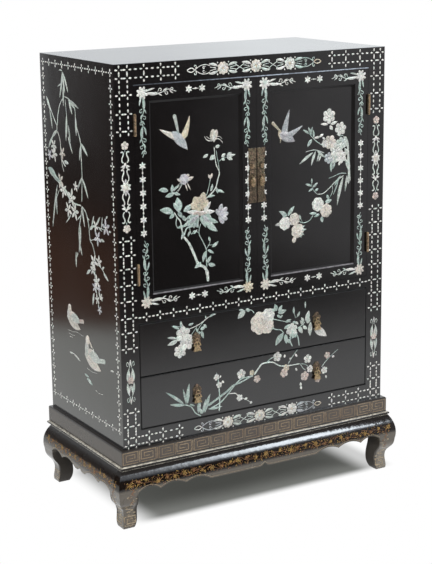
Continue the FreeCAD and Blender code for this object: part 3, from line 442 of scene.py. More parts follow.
def brass_finish(color, name):
    """Old brass: dark tarnish in patches, rubbed pink and green spots and fine punched dots; on hinges and
    lock plates, painted light and shade.
    """
    sketch = material_sketch(name)
    own = sketch.place()
    patch = sketch.noise(own, 170.0, 4.0, 0.8)
    hue = sketch.noise(own, 75.0, 2.0)
    speck = sketch.noise(own, 330.0, 1.0)
    grain = sketch.noise(own, 700.0)
    punch = sketch.add("ShaderNodeTexVoronoi", {"Vector": own, "Scale": 420.0}, output="Distance")
    coats = [(hue, 0.52, 0.64, "a88a78", 0.5), (hue, 0.48, 0.36, "808266", 0.5)]
    coats += [(speck, 0.52, 0.62, "b4927e", 0.55), (speck, 0.48, 0.38, scaled(color, 0.35), 0.6)]
    if name == "bronze":
        coats += hinge_highlight_and_shade(sketch, own, color)
    elif name == "plate_bronze":
        coats += darker_foot_and_painted_boss(sketch, own, color)
    coats += [(patch, 0.46, 0.6, scaled(color, 0.22), 0.8), (punch, 0.35, 0.0, scaled(color, 0.14), 0.7)]
    return sketch.surface(
        base_color=sketch.layers(color, *coats),
        roughness=sketch.span(patch, 0.46, 0.6, 0.38, 0.63),
        metallic=0.55,
        normal=sketch.bump(punch + 0.6 * grain + 1.5 * patch, 0.5, 0.0006),
    )


def hinge_highlight_and_shade(sketch, own, color):
    """A painted highlight down the middle of each hinge, with painted shade beside it."""
    beside = (sketch.axes(own)[0].math("ABSOLUTE") - HINGE_OUT).math("ABSOLUTE")
    return [(beside, 0.003, 0.0, "c8a47c", 0.45), (beside, 0.0025, 0.0045, scaled(color, 0.25), 0.75)]


def darker_foot_and_painted_boss(sketch, own, color):
    """Darker towards the foot, and a boss painted in light and shade: a pale highlight in a ring of painted
    shade, by the distance out, the root of two sides squared.
    """
    x, _, z = sketch.axes(own)
    aside = x.math("ABSOLUTE") - BOSS_ASIDE
    above = z - (LOCK_LOW + BOSS_HIGH)
    out = (aside * aside + above * above).math("SQRT")
    return [
        (z, LOCK_LOW + 0.1, LOCK_LOW + 0.01, scaled(color, 0.3), 0.55),
        (out, BOSS_OUT + 0.004, BOSS_OUT, scaled(color, 0.25), 0.7),
        (out, BOSS_OUT, BOSS_OUT - 0.002, "a88f72", 0.75),
    ]


def shell_finish():
    """Mother-of-pearl: the piece's own tint under drifting bands of colour, with cut lines and dark rims."""
    sketch = material_sketch("mother_of_pearl")
    own = sketch.place()
    tint = sketch.attribute("tint", "Color")
    along, across, kind = sketch.axes(sketch.attribute("cut", "Vector"))
    side = across.math("ABSOLUTE")
    cloud = sketch.noise(own, 150.0, 3.0, 1.2)
    drift = sketch.noise(sketch.place((1.0, 1.0, 1.0), (0.4, 0.7, 0.2)), 90.0, 3.0, 1.6)
    grain = sketch.noise(own, 430.0, 2.0)
    greens, roses = ((0.0, "9fd0c6"), (0.3, "dfeee8"), (0.5, "efe8dc")), ((0.68, "dcc4c8"), (0.86, "c4c2dc"))
    stops = {"stops": (*greens, *roses, (1.0, "aed2d6"))}
    fire = sketch.add("ShaderNodeValToRGB", {"Fac": sketch.span(drift, 0.25, 0.75)}, stops)
    shade = sketch.layers(
        sketch.blend(0.5, tint, fire, "MULTIPLY"),
        (cloud, 0.52, 0.72, "f2f2ee", 0.65),
        (cloud, 0.48, 0.30, "4c5c5a", 0.55),
        (grain, 0.5, 0.36, "54605c", 0.6),
        (grain, 0.56, 0.68, "f4f4f0", 0.35),
    )
    vein = sketch.fade(side, 0.0, 0.14)
    ribs = sketch.span(sketch.math("SINE", along * 2.2 + side * 5.0), 0.7, 1.0)
    cuts = ((vein * 0.8 + ribs) * kind).math("MINIMUM", 1.0)
    shade = sketch.blend(cuts * 0.5, shade, "3c4644")
    shade = sketch.blend(sketch.span(side, 0.72, 0.98) * kind * 0.75, shade, "2c3230")
    return sketch.surface(
        base_color=shade,
        roughness=0.24 + 0.2 * cloud,
        ior=1.6,
        coat_weight=0.6,
        coat_roughness=0.08,
        normal=sketch.bump(cuts * -1.0, 0.5, 0.0004),
    )


def gilt_finish(colors):
    """Gold paint rubbed thin: the piece's own gold, with the ground showing where it has worn."""
    sketch = material_sketch("gilding")
    own = sketch.place()
    wear = sketch.noise(own, 210.0, 4.0)
    tone = sketch.noise(own, 45.0, 2.0)
    ground = (wear, 0.50, 0.64, scaled(colors.rim, 0.7), 0.6)
    shade = sketch.layers(sketch.attribute("tint", "Color"), (tone, 0.4, 0.7, colors.gilt_red, 0.3), ground)
    bump = sketch.bump(wear, 0.2, 0.0004)
    return sketch.surface(base_color=shade, roughness=0.38 + 0.2 * wear, metallic=0.25, normal=bump)


class CABINET_OT_finishes(bpy.types.Operator):
    """Makes the finishes and gives every part of the frame its own"""

    bl_idname = "cabinet.finishes"
    bl_label = "Finishes"

    def execute(self, context):
        colors = context.scene.cabinet_colors
        by_slot = {
            "black_lacquer": lacquer_finish(colors),
            "stand_lacquer": stand_finish(colors),
            "plain_wood": wood_finish(colors),
            "brass": brass_finish(colors.bronze, "bronze"),
        }
        by_ending = {
            ("_pull_left", "_pull_right", "hinge_pins"): brass_finish(scaled(colors.brass, 1.2), "brass"),
            "_lock_plate": brass_finish(scaled(colors.bronze, 0.62), "plate_bronze"),
            "_pull_mounts": brass_finish(scaled(colors.bronze, 0.45), "mount_bronze"),
            "_drop": brass_finish(scaled(colors.brass, 0.72), "drop_bronze"),
            "_door_bead": lacquer_finish(colors, "bead_lacquer"),
        }
        shell_finish()
        gilt_finish(colors)
        slots = {part["node"]: part["material_slot"] for part in frame["record"]["subparts"]}
        for name, node in frame["nodes"].items():
            own = [finish for ending, finish in by_ending.items() if name.endswith(ending)]
            node.data.materials.clear()
            node.data.materials.append(own[0] if own else by_slot[slots[name]])
        return {"FINISHED"}


# ---------------------------------------------------------------- shell work


def rounded_steps(count):
    """Steps from 0 to 1 that crowd at both ends: half of one minus the cosine of an even half turn."""
    return 0.5 - 0.5 * np.cos(np.linspace(0.0, math.pi, count))


def leaf_shape(t):
    """Pointed at both ends and widest a little before the middle."""
    return np.sin(math.pi * t**0.85) ** 0.9


def petal_shape(t):
    """Narrow at the foot and round at the tip."""
    return np.sin(math.pi * t**1.6) ** 0.6


def disc_shape(t):
    """A circle: twice the root of t times one minus t."""
    return 2.0 * np.sqrt(np.clip(t * (1.0 - t), 0.0, None))


def bar_shape(t):
    """Even, with rounded ends."""
    return np.minimum(1.0, 3.5 * np.sqrt(np.clip(t * (1.0 - t), 0.0, None)))


def wing_shape(t):
    """Broad soon after the root, then thinning to the tip."""
    return np.minimum(1.0, 5.0 * t) ** 0.5 * (1.0 - t) ** 0.75


def tail_shape(t):
    """Widening to a blunt end."""
    return np.minimum(1.0, 12.0 * (1.0 - t)) ** 0.5 * (0.45 + 0.55 * t) * np.minimum(1.0, 20.0 * t)


def off(x, y, far, turn):
    """The place at a distance from x, y, at a turn in degrees."""
    way = np.radians(turn)
    return x + far * np.cos(way), y + far * np.sin(way)


def smooth_path(points, each=6):
    """Catmull-Rom line: on each span a cubic whose end slopes are half the step between its neighbours."""
    p = np.asarray(points, float)
    p = np.concatenate([2.0 * p[:1] - p[1:2], p, 2.0 * p[-1:] - p[-2:-1]])
    t = np.linspace(0.0, 1.0, each, endpoint=False)[None, :, None]
    a, b, c, d = p[:-3, None], p[1:-2, None], p[2:-1, None], p[3:, None]
    line = b + 0.5 * (c - a) * t + (a - 2.5 * b + 2.0 * c - 0.5 * d) * t**2
    line = line + (1.5 * (b - c) + 0.5 * (d - a)) * t**3
    return np.concatenate([line.reshape(-1, 2), p[-2:-1]])


def with_blunt_ends(lines, inset=0.3):
    """The same lines (pieces, corners, 2) with one more step just inside each end."""
    first = lines[:, 1:2] - lines[:, :1]
    last = lines[:, -2:-1] - lines[:, -1:]
    first = lines[:, :1] + inset * first / np.linalg.norm(first, axis=-1, keepdims=True)
    last = lines[:, -1:] + inset * last / np.linalg.norm(last, axis=-1, keepdims=True)
    return np.concatenate([lines[:, :1], first, lines[:, 1:-1], last, lines[:, -1:]], 1)


class Ground:
    """A plane that carries inlay: millimetres to the right and up from a corner, and out of it."""

    def __init__(self, origin, right):
        self.origin = np.array(origin, float)
        self.right = np.array(right, float)
        self.up = np.array(UP)
        self.out = np.cross(self.right, self.up)

    def points(self, plan, height):
        """corner + right times the first number + up times the second + out times the height."""
        flat = plan[..., :1] * self.right + plan[..., 1:] * self.up + height[..., None] * self.out
        return self.origin + flat * MM


class RoundedGround:
    """The swelling face of the stand: the plane's right, then round a drum whose axis is level.

    The second number is the height over the floor; the outward way there is
    root(radius squared - (height - axis height) squared) from the axis.
    """

    def __init__(self, out, face, radius, axis_height):
        self.out = np.array(out, float)
        self.right = np.cross(UP, self.out)
        self.centre = self.out * (face - radius) * MM
        self.radius = radius
        self.axis_height = axis_height

    def points(self, plan, height):
        rise = (plan[..., 1:] - self.axis_height) / self.radius
        reach = np.sqrt(np.clip(1.0 - rise**2, 0.0, None))
        far = self.radius + height[..., None]
        upward = (self.axis_height + rise * far) * np.array(UP)
        return self.centre + (plan[..., :1] * self.right + reach * far * self.out + upward) * MM


class FootGround:
    """The outer face of a foot: its depth at a height is read from the leg's own outline."""

    def __init__(self, leg, way):
        mesh = frame["nodes"][leg].data
        spots = np.zeros(len(mesh.vertices) * 3)
        mesh.vertices.foreach_get("co", spots)
        spots = spots.reshape(-1, 3)
        self.out = np.array(way, float)
        self.right = np.cross(UP, self.out)
        self.outer = max((np.dot(corner, self.right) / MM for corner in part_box(leg)), key=abs)
        self.inward = -np.sign(self.outer)
        far = spots @ self.out
        levels, which = np.unique(np.round(spots[:, 2], 4), return_inverse=True)
        which = which.ravel()
        reach = np.full(len(levels), -np.inf)
        np.maximum.at(reach, which, far)
        inner = np.full(len(levels), np.inf)
        face = far > reach[which] - 0.0006
        np.minimum.at(inner, which[face], np.abs(spots @ self.right)[face])
        keep = reach > reach.max() - 0.030
        self.levels, self.reach, self.inner = levels[keep] / MM, reach[keep] / MM, inner[keep] / MM

    def points(self, plan, height):
        far = np.interp(plan[..., 1], self.levels, self.reach) + height
        return (plan[..., :1] * self.right + far[..., None] * self.out + plan[..., 1:] * np.array(UP)) * MM


# a piece's section: places across, from -1 to 1, with the share of its rise there
SECTION = np.array([[-1.0, 0.0], [-0.66, 0.84], [0.0, 1.0], [0.66, 0.84], [1.0, 0.0]])
SIDES = len(SECTION)


class Inlay:
    """Raised pieces that end up as one mesh."""

    def __init__(self, ground, rise, sink, colors, material, seed):
        self.ground = ground
        self.rise = rise / MM
        self.sink = sink / MM
        self.colors = colors
        self.material = material
        self.random = np.random.default_rng(seed)
        self.points, self.quads, self.ends, self.tints, self.cuts = [], [], [], [], []
        self.count = 0

    def lay(self, paths, halves, tint, cut=0.0, lift=0.0, spread=0.11):
        """Bars with a rounded top along paths (pieces, steps, 2), closed to a point at both ends.

        A ring at each inner step is centre + mitred normal x half-width x section across,
        at a height of rise x section up, lower where the bar is narrow; the foot is sunk.
        """
        paths = np.asarray(paths, float)
        halves = np.broadcast_to(np.asarray(halves, float), paths.shape[:2])
        pieces, steps, _ = paths.shape
        way = np.diff(paths, axis=1)
        way /= np.maximum(np.linalg.norm(way, axis=2, keepdims=True), 1e-9)
        normal = np.stack([-way[..., 1], way[..., 0]], -1)
        first, second = normal[:, :-1], normal[:, 1:]
        mitre = (first + second) / np.maximum(1.0 + (first * second).sum(-1, keepdims=True), 0.4)
        half = halves[:, 1:-1]
        across = half[..., None] * SECTION[:, 0]
        ring = paths[:, 1:-1, None] + mitre[:, :, None] * across[..., None]
        narrow = np.sqrt(np.clip(half / 1.6, 0.12, 1.0))
        lifts = np.broadcast_to(np.asarray(lift, float), (pieces,))[:, None, None]
        height = (narrow[..., None] * self.rise + lifts) * SECTION[:, 1]
        height = np.where(SECTION[:, 1] > 0, height, -self.sink)
        rings = steps - 2
        body = self.ground.points(ring, height).reshape(pieces, rings * SIDES, 3)
        tips = self.ground.points(paths[:, [0, -1]], np.full((pieces, 2), -self.sink))
        self.points.append(np.concatenate([body, tips], 1).reshape(-1, 3))
        self.join(pieces, rings)
        run = np.linalg.norm(np.diff(paths, axis=1), axis=2).cumsum(1)[:, :-1]
        each = rings * SIDES + 2
        cuts = np.zeros((pieces, each, 3))
        cuts[:, :-2, 0] = np.repeat(run, SIDES, 1)
        cuts[:, :-2, 1] = np.tile(SECTION[:, 0], rings)
        cuts[:, :, 2] = cut
        self.cuts.append(cuts.reshape(-1, 3))
        shades = np.ones((pieces, each, 4))
        light = 1.0 + spread * self.random.standard_normal((pieces, 1, 1))
        shades[..., :3] = np.clip(np.array(tuple(tint)[:3]) * light, 0.0, 1.0)
        self.tints.append(shades.reshape(-1, 4))

    def join(self, pieces, rings):
        """The faces of so many pieces: quads from ring to ring, and a fan of triangles at each tip."""
        each = rings * SIDES + 2
        start = self.count + each * np.arange(pieces)[:, None, None]
        row = (np.arange(rings - 1) * SIDES)[:, None]
        side = np.arange(SIDES)
        after = (side + 1) % SIDES
        quad = np.stack([row + side, row + after, row + SIDES + after, row + SIDES + side], -1)
        self.quads.append((quad.reshape(1, -1, 4) + start).reshape(-1, 4))
        last = (rings - 1) * SIDES
        first_tip = np.stack([np.full(SIDES, each - 2), after, side], -1)
        last_tip = np.stack([np.full(SIDES, each - 1), last + side, last + after], -1)
        self.ends.append((np.concatenate([first_tip, last_tip])[None] + start).reshape(-1, 3))
        self.count += pieces * each

    def bent(self, x, y, long, wide, turn, bend=0.0, shape=leaf_shape, steps=9, **look):
        """Pieces that start at x, y, run long at a turn in degrees, bend evenly and are wide by a shape."""
        values = [np.atleast_1d(np.asarray(v, float)) for v in (x, y, long, wide, turn, bend)]
        x, y, long, wide, turn, bend = np.broadcast_arrays(*values)
        t = rounded_steps(steps)
        middle = 0.5 * (t[1:] + t[:-1])
        heading = np.radians(turn[:, None] + bend[:, None] * (middle - 0.5))
        stride = long[:, None] * np.diff(t)
        move = np.stack([stride * np.cos(heading), stride * np.sin(heading)], -1).cumsum(1)
        start = np.stack([x, y], -1)[:, None]
        paths = np.concatenate([start, start + move], 1)
        self.lay(paths, 0.5 * wide[:, None] * shape(t), **look)

    def leaf(self, x, y, long, wide, turn, bend=20.0, tint="green", lift=0.1):
        self.bent(x, y, long, wide, turn, bend, leaf_shape, 11, tint=self.colors[tint], cut=1.0, lift=lift)

    def dot(self, x, y, wide, tint="white", tall=1.0, lift=0.0, turn=90.0):
        long = wide * tall
        x, y = off(np.asarray(x, float), np.asarray(y, float), -0.5 * long, turn)
        self.bent(x, y, long, wide, turn, 0.0, disc_shape, 8, tint=self.colors[tint], lift=lift)

    def line(self, path, half, tint):
        """One bar along a path, closed at both ends."""
        half[[0, -1]] = 0.0
        self.lay(path[None], half[None], self.colors[tint])

    def stem(self, points, thick=2.0, thin=1.2, tint="green"):
        """A smooth line through points that thins from start to end, and is knotty where it is thick."""
        path = smooth_path(points)
        half = 0.5 * (thick + (thin - thick) * np.linspace(0.0, 1.0, len(path)))
        if thick > 4.0:
            half = half * (1.0 + 0.2 * self.random.uniform(-1.0, 1.0, len(path)))
        self.line(path, half, tint)

    def curl(self, x, y, radius, turn, sweep, tail=(), tint="green", wide=1.7):
        """A spiral into x, y from a radius, with a tail before it."""
        t = np.linspace(0.0, 1.0, 14)
        spiral = np.stack(off(x, y, radius * (1.0 - 0.72 * t), turn + sweep * t), -1)
        path = np.concatenate([np.asarray(tail, float).reshape(-1, 2), spiral])
        self.line(path, np.full(len(path), 0.5 * wide), tint)

    def ring_of_petals(self, x, y, radius, count, turn, wide, tint, start=0.12, lift=0.0, shape=petal_shape):
        """Petals round a place, every other one a little higher."""
        around = turn + np.arange(count) * 360.0 / count
        look = {"tint": self.colors[tint], "cut": 0.6, "lift": lift + 0.12 * (np.arange(count) % 2)}
        foot = off(x, y, start * radius, around)
        self.bent(*foot, radius * (1.0 - start), wide, around, 0.0, shape, 10, **look)

    def star(self, x, y, radius, tint="white"):
        """Six small petals round a dot, at many places at once."""
        x, y = np.broadcast_arrays(np.atleast_1d(np.asarray(x, float)), np.atleast_1d(np.asarray(y, float)))
        around = 30.0 + 60.0 * np.arange(6)
        foot_x, foot_y = off(x[:, None], y[:, None], 0.14 * radius, around)
        size = (0.86 * radius, 0.62 * radius)
        look = {"tint": self.colors[tint], "steps": 6}
        self.bent(foot_x.ravel(), foot_y.ravel(), *size, np.tile(around, len(x)), **look)
        self.dot(x, y, 0.5 * radius, tint, lift=0.2)

    def blossom(self, x, y, radius, tint, petals=5, turn=18.0, heart="cream"):
        """Round petals and a domed heart."""
        wide = 1.35 * radius * math.sin(math.pi / petals) * 1.25
        self.ring_of_petals(x, y, radius, petals, turn, wide, tint)
        self.dot(x, y, 0.42 * radius, heart, lift=0.35)

    def rose(self, x, y, radius, tint="cream", turn=0.0, heart="white"):
        """Three rings of overlapping petals, each smaller, higher and turned by half a petal."""
        for share, count, lift in ((1.0, 7, 0.0), (0.72, 6, 0.35), (0.45, 5, 0.7)):
            wide = 2.0 * share * radius * math.sin(math.pi / count) * 1.12
            self.ring_of_petals(x, y, share * radius, count, turn, wide, tint, 0.1, lift)
            turn += 180.0 / count
        self.dot(x, y, 0.26 * radius, heart, lift=1.1)

    def finish(self, name, body="cabinet"):
        """One mesh of all the pieces, riding on a body."""
        mesh = bpy.data.meshes.new(name)
        faces = np.concatenate(self.quads).tolist() + np.concatenate(self.ends).tolist()
        mesh.from_pydata(np.concatenate(self.points), [], faces)
        tint = mesh.attributes.new("tint", "FLOAT_COLOR", "POINT")
        tint.data.foreach_set("color", np.concatenate(self.tints).ravel())
        cut = mesh.attributes.new("cut", "FLOAT_VECTOR", "POINT")
        cut.data.foreach_set("vector", np.concatenate(self.cuts).ravel())
        mesh.shade_smooth()
        mesh.materials.append(bpy.data.materials[self.material])
        piece = bpy.data.objects.new(name, mesh)
        bpy.context.scene.collection.objects.link(piece)
        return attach(piece, body)


class Mirrored:
    """Lays what it is told on both sides of an upright line at x, or of a level line at y."""

    def __init__(self, inlay, x=None, y=None):
        self.inlay = inlay
        self.x = x
        self.y = y

    def across(self, points):
        points = np.array(points, float)
        if self.x is not None:
            points[..., 0] = 2.0 * self.x - points[..., 0]
        else:
            points[..., 1] = 2.0 * self.y - points[..., 1]
        return points

    def turned(self, turn):
        return 180.0 - turn if self.x is not None else -turn

    def stem(self, points, *rest, **look):
        for line in (points, self.across(points)):
            self.inlay.stem(line, *rest, **look)

    def dot(self, x, y, *rest, **look):
        for spot in ((x, y), self.across((x, y))):
            self.inlay.dot(*spot, *rest, **look)

    def leaf(self, x, y, long, wide, turn, bend=20.0, **look):
        self.inlay.leaf(x, y, long, wide, turn, bend, **look)
        self.inlay.leaf(*self.across((x, y)), long, wide, self.turned(turn), -bend, **look)

    def curl(self, x, y, radius, turn, sweep, tail, **look):
        self.inlay.curl(x, y, radius, turn, sweep, tail, **look)
        self.inlay.curl(*self.across((x, y)), radius, self.turned(turn), -sweep, self.across(tail), **look)


def palette(context, family):
    """The colours of the shell or of the gilding, by the last word of their names."""
    colors = context.scene.cabinet_colors
    names = [name for name in colors.__annotations__ if name.startswith(family)]
    return {name.removeprefix(family + "_"): tuple(getattr(colors, name)) for name in names}


def shell_inlay(context, ground, seed):
    sizes = context.scene.cabinet_sizes
    colors = palette(context, "shell")
    return Inlay(ground, sizes.shell_rise, sizes.shell_set, colors, "mother_of_pearl", seed)


def gilt_inlay(context, ground, seed):
    rise = context.scene.cabinet_sizes.gilt_rise
    return Inlay(ground, rise, rise, palette(context, "gilt"), "gilding", seed)


def front_inlay(context, seed, depth=FRONT):
    """Shell on the front: x from the left side of the case and y from its underside, in millimetres."""
    return shell_inlay(context, Ground((-SIDE, depth, FLOOR_OF_CASE), RIGHT), seed)


def lattice(inlay, sizes, nodes, links, gap=3.2, upright=(5.0, 1.8)):
    """Crosses of four petals at the nodes and long dots at the links."""
    nodes = np.asarray(nodes, float)
    around = np.tile(np.array([0.0, 90.0, 180.0, 270.0]), len(nodes))
    foot = off(np.repeat(nodes[:, 0], 4), np.repeat(nodes[:, 1], 4), gap, around)
    petal = (sizes.petal_length / MM, sizes.petal_width / MM)
    inlay.bent(*foot, *petal, around, 0.0, petal_shape, 7, tint=inlay.colors["white"])
    for way, (wide, tall) in ((0.0, (5.0, 1.8)), (90.0, upright)):
        there = np.asarray([link[:2] for link in links if link[2] == way], float)
        if len(there):
            inlay.dot(there[:, 0], there[:, 1], wide, tall=tall, turn=way)


def chain(stops, widest=60.0, least=26.0):
    """The middle of every gap between neighbours that is neither narrow nor wide."""
    stops = np.asarray(stops, float)
    gaps = np.diff(stops)
    good = (gaps > least) & (gaps < widest)
    return (0.5 * (stops[1:] + stops[:-1]))[good]


# the lattice of the face frame: columns up both stiles, and pairs of rows along the rails
LEFT_COLUMNS, RIGHT_COLUMNS = (15.0, 38.0), (794.0, 815.0)
COLUMN_RUNS = (
    (8.0, 28.0, 60.0, 97.0),
    (270.0, 312.0, 350.0, 395.0, 437.0, 480.0, 515.0, 553.0),
    (832.0, 875.0, 922.0, 964.0, 985.0),
)
ROW_RUNS = (
    ((964.0, 985.0), (38.0, 85.0, 133.0, 175.0), (655.0, 700.0, 747.0, 794.0)),
    ((8.0, 28.0), (38.0, 77.0, 118.0, 168.0), (660.0, 708.0, 752.0, 794.0)),
)
MIDDLE_ROW = 348.0


def face_lattice():
    """Nodes and links of the lattice on the face frame."""
    nodes, links = [], []
    for x in LEFT_COLUMNS + RIGHT_COLUMNS:
        for run in COLUMN_RUNS:
            nodes += [(x, y) for y in run]
            links += [(x, y, 90.0) for y in chain(run)]
    for rows, left, right in ROW_RUNS:
        for y in rows:
            nodes += [(x, y) for x in left[1:] + right[:-1]]
            links += [(x, y, 0.0) for x in (*chain(left), *chain(right))]
    middle = np.linspace(77.0, 754.0, 18)
    nodes += [(x, MIDDLE_ROW) for x in middle]
    links += [(x, MIDDLE_ROW, 0.0) for x in chain((LEFT_COLUMNS[1], *middle, RIGHT_COLUMNS[0]))]
    return nodes, links


def lyre(pair, low, high, tint):
    """Two mirrored scrolls: hooked at high, drawn in, then swelling out to low."""
    ends = ((-12.0, 0.94), (-8.5, 1.02), (-4.6, 0.9), (-5.4, 0.68), (-8.8, 0.42), (-8.6, 0.16), (-4.5, 0.0))
    pair.stem([(pair.x + u, low + v * (high - low)) for u, v in ends], 4.0, 3.6, tint)


def stile_ornament(inlay, x, middle, outer, scroll):
    """Upright column of flowers and lyre scrolls, alike above and below its large flower."""
    pair = Mirrored(inlay, x=x)
    inlay.ring_of_petals(x, middle, 16.0, 8, 22.5, 10.0, "white", shape=leaf_shape)
    inlay.rose(x, middle, 10.5)
    for way in (1.0, -1.0):
        bow = middle + way * 54.0
        inlay.leaf(x, middle + way * 12.0, 10.0, 6.5, 90.0 * way, 0.0, "white")
        lyre(pair, middle + way * 14.0, middle + way * 45.0, scroll)
        for turn in (18.0, 55.0):
            pair.leaf(x + 1.0, bow + way * 2.0, 13.0, 6.0, -turn * way, 10.0, tint="white")
        inlay.dot(x, bow + way * 5.0, 8.0, lift=0.2)
        lyre(pair, middle + way * 62.0, middle + way * 90.0, "pale")
        inlay.stem([(x, middle + way * 88.0), (x, middle + way * 98.0)], 2.0, 2.0)
        inlay.blossom(x, middle + way * 106.0, 11.0, outer, 5, 90.0 * way)


def spindle(inlay, x):
    """Slender upright spindle of paired leaves round a rosy flower."""
    middle = 181.0
    hook = ((2.0, 38.0), (5.0, 50.0), (9.0, 54.0), (11.0, 46.0), (7.0, 42.0))
    pair = Mirrored(inlay, x=x)
    for way in (1.0, -1.0):
        inlay.leaf(x, middle + way * 44.0, 17.0, 6.0, 90.0 * way, 0.0, "white", 0.2)
        pair.leaf(x + 9.0, middle + way * 2.0, 38.0, 8.0, 99.0 * way, 26.0 * way, tint="pale")
        pair.stem([(x + aside, middle + way * up) for aside, up in hook], 2.4, 1.6, "pale")
        pair.leaf(x + 2.0, middle + way * 8.0, 22.0, 4.5, 85.0 * way, 0.0, tint="white")
    inlay.blossom(x, middle + 4.0, 10.5, "rose", 6, 0.0)


def garland(inlay, y, start, flowers, end, tints):
    """Level band of three many-petalled flowers, with leaf pairs and crossing tendrils between them."""
    pair = Mirrored(inlay, y=y)
    for x, tint in zip(flowers, ("cream", "cream", "white")):
        inlay.ring_of_petals(x, y, 17.2, 9, x, 11.0, tint, 0.3)
        inlay.ring_of_petals(x, y, 11.5, 7, x, 9.0, "white", 0.2, 0.4)
        inlay.dot(x, y, 7.0, "tan", lift=0.8)
    stops = (start, *flowers, end)
    for left, right, tint in zip(stops[:-1], stops[1:], tints):
        for x, way in ((left, 1.0), (right, -1.0)):
            if x in (start, end):
                garland_end(pair, x, way, tint, "white" if x == start else "tan")
            else:
                turn = 90.0 - way * 90.0 + way * 13.0
                leaf_tint = "white" if way < 0 else tint
                pair.leaf(x + way * 15.0, y + 5.5, 30.0, 9.0, turn, -way * 36.0, tint=leaf_tint)
                pair.dot(x + way * 16.5, y + 15.0, 4.4)
                tendril = [(x + way * s, y + t) for s, t in ((19.0, 1.0), (30.0, 3.0), (40.0, 4.5))]
                pair.stem(tendril, 2.2, 1.8, tint)
        if left != start and right != end:
            middle = 0.5 * (left + right)
            pair.stem([(middle + s, y - 0.6 * s) for s in (-15.0, -5.0, 5.0, 15.0)], 2.2, 2.2, tint)
            for way in (1.0, -1.0):
                tail = [(middle + way * 4.0, y + 5.0)]
                look = {"wide": 2.2, "tint": tint}
                pair.curl(middle + way * 13.0, y + 10.0, 4.4, 90.0 - way * 90.0, way * 300.0, tail, **look)


def garland_end(pair, x, way, tint, tip):
    """The outer run of a garland: a bud, a wavy vine and two curls."""
    turn = 90.0 - way * 90.0

    def along(*spots):
        return [(x + way * s, pair.y + t) for s, t in spots]

    pair.stem(along((0.0, 0.0), (7.0, 4.0), (15.0, 5.0), (24.0, 0.0)), 3.0, 2.6, tip)
    pair.stem(along((24.0, 0.0), (32.0, 6.0), (44.0, 11.0), (58.0, 11.5), (70.0, 7.0)), 2.6, 2.0, tint)
    first, second = along((24.0, 9.0), (50.0, 4.4))
    pair.curl(*first, 4.6, turn - way * 60.0, way * 300.0, along((33.0, 4.0)), wide=2.4, tint=tint)
    pair.curl(*second, 3.8, turn + way * 90.0, way * 300.0, along((62.0, 5.0)), wide=2.2, tint=tint)


class CABINET_OT_face_border(bpy.types.Operator):
    """Lays the shell lattice, the flower columns and the garlands on the face frame"""

    bl_idname = "cabinet.face_border"
    bl_label = "Face Frame Border"

    def execute(self, context):
        inlay = front_inlay(context, 3)
        lattice(inlay, context.scene.cabinet_sizes, *face_lattice())
        inlay.finish("face_lattice")
        ornament = front_inlay(context, 4)
        for x, middle, outer, scroll in ((26.5, 691.0, "cream", "white"), (804.0, 695.0, "rose", "pale")):
            stile_ornament(ornament, x, middle, outer, scroll)
            spindle(ornament, x)
        garland(ornament, 972.5, 208.0, (315.0, 415.0, 520.0), 620.0, ("white", "pale", "pale", "green"))
        garland(ornament, 18.5, 213.0, (318.0, 420.0, 525.0), 624.0, ("grey", "pale", "pale", "grey"))
        ornament.finish("face_ornament")
        return {"FINISHED"}


def spray(inlay, corner, along, across, tint, longer=False):
    """Leaves, a vine and curls that leave a corner flower along the frame; a longer one has a second run."""
    stretch = 1.06 if longer else 1.17
    corner, along, across = (np.asarray(v, float) for v in (corner, along, across))
    base = math.degrees(math.atan2(along[1], along[0]))
    hand = along[0] * across[1] - along[1] * across[0]

    def run(shift, flip):
        side = flip * hand

        def spot(s, t):
            return tuple(corner + (stretch * s + shift) * along + flip * t * across)

        def leaf(s, t, long, wide, turn, bend, tint=tint):
            inlay.leaf(*spot(s, t), stretch * long, wide, base + side * turn, side * bend, tint=tint)

        def curl(s, t, radius, turn, sweep, *tail):
            tail = [spot(*p) for p in tail]
            inlay.curl(*spot(s, t), radius, base + side * turn, side * sweep, tail, tint, 2.2)

        leaf(9.0, -1.0, 34.0, 9.5, -5.0, 20.0, tint if longer else "white")
        leaf(10.0, 3.0, 22.0, 6.0, 15.0, -18.0)
        vine = ((30.0, 0.0), (40.0, -4.0), (52.0, 0.0), (64.0, 4.5), (75.0, 1.0), (84.0, -3.0))
        inlay.stem([spot(*p) for p in vine], 3.0, 2.0, tint)
        curl(44.0, 4.0, 5.5, 200.0, -330.0, (34.0, -1.0))
        curl(60.0, -4.4, 5.2, 150.0, 330.0, (50.0, -1.0))
        curl(73.0, 4.4, 4.4, 190.0, -320.0, (66.0, 3.0))
        leaf(50.0, -1.0, 14.0, 5.0, 32.0, -30.0)
        leaf(66.0, 3.0, 13.0, 4.5, -38.0, 30.0)
        leaf(38.0, -3.0, 13.0, 4.5, -30.0, 30.0)

    run(0.0, 1.0)
    if longer:
        run(74.0, -1.0)


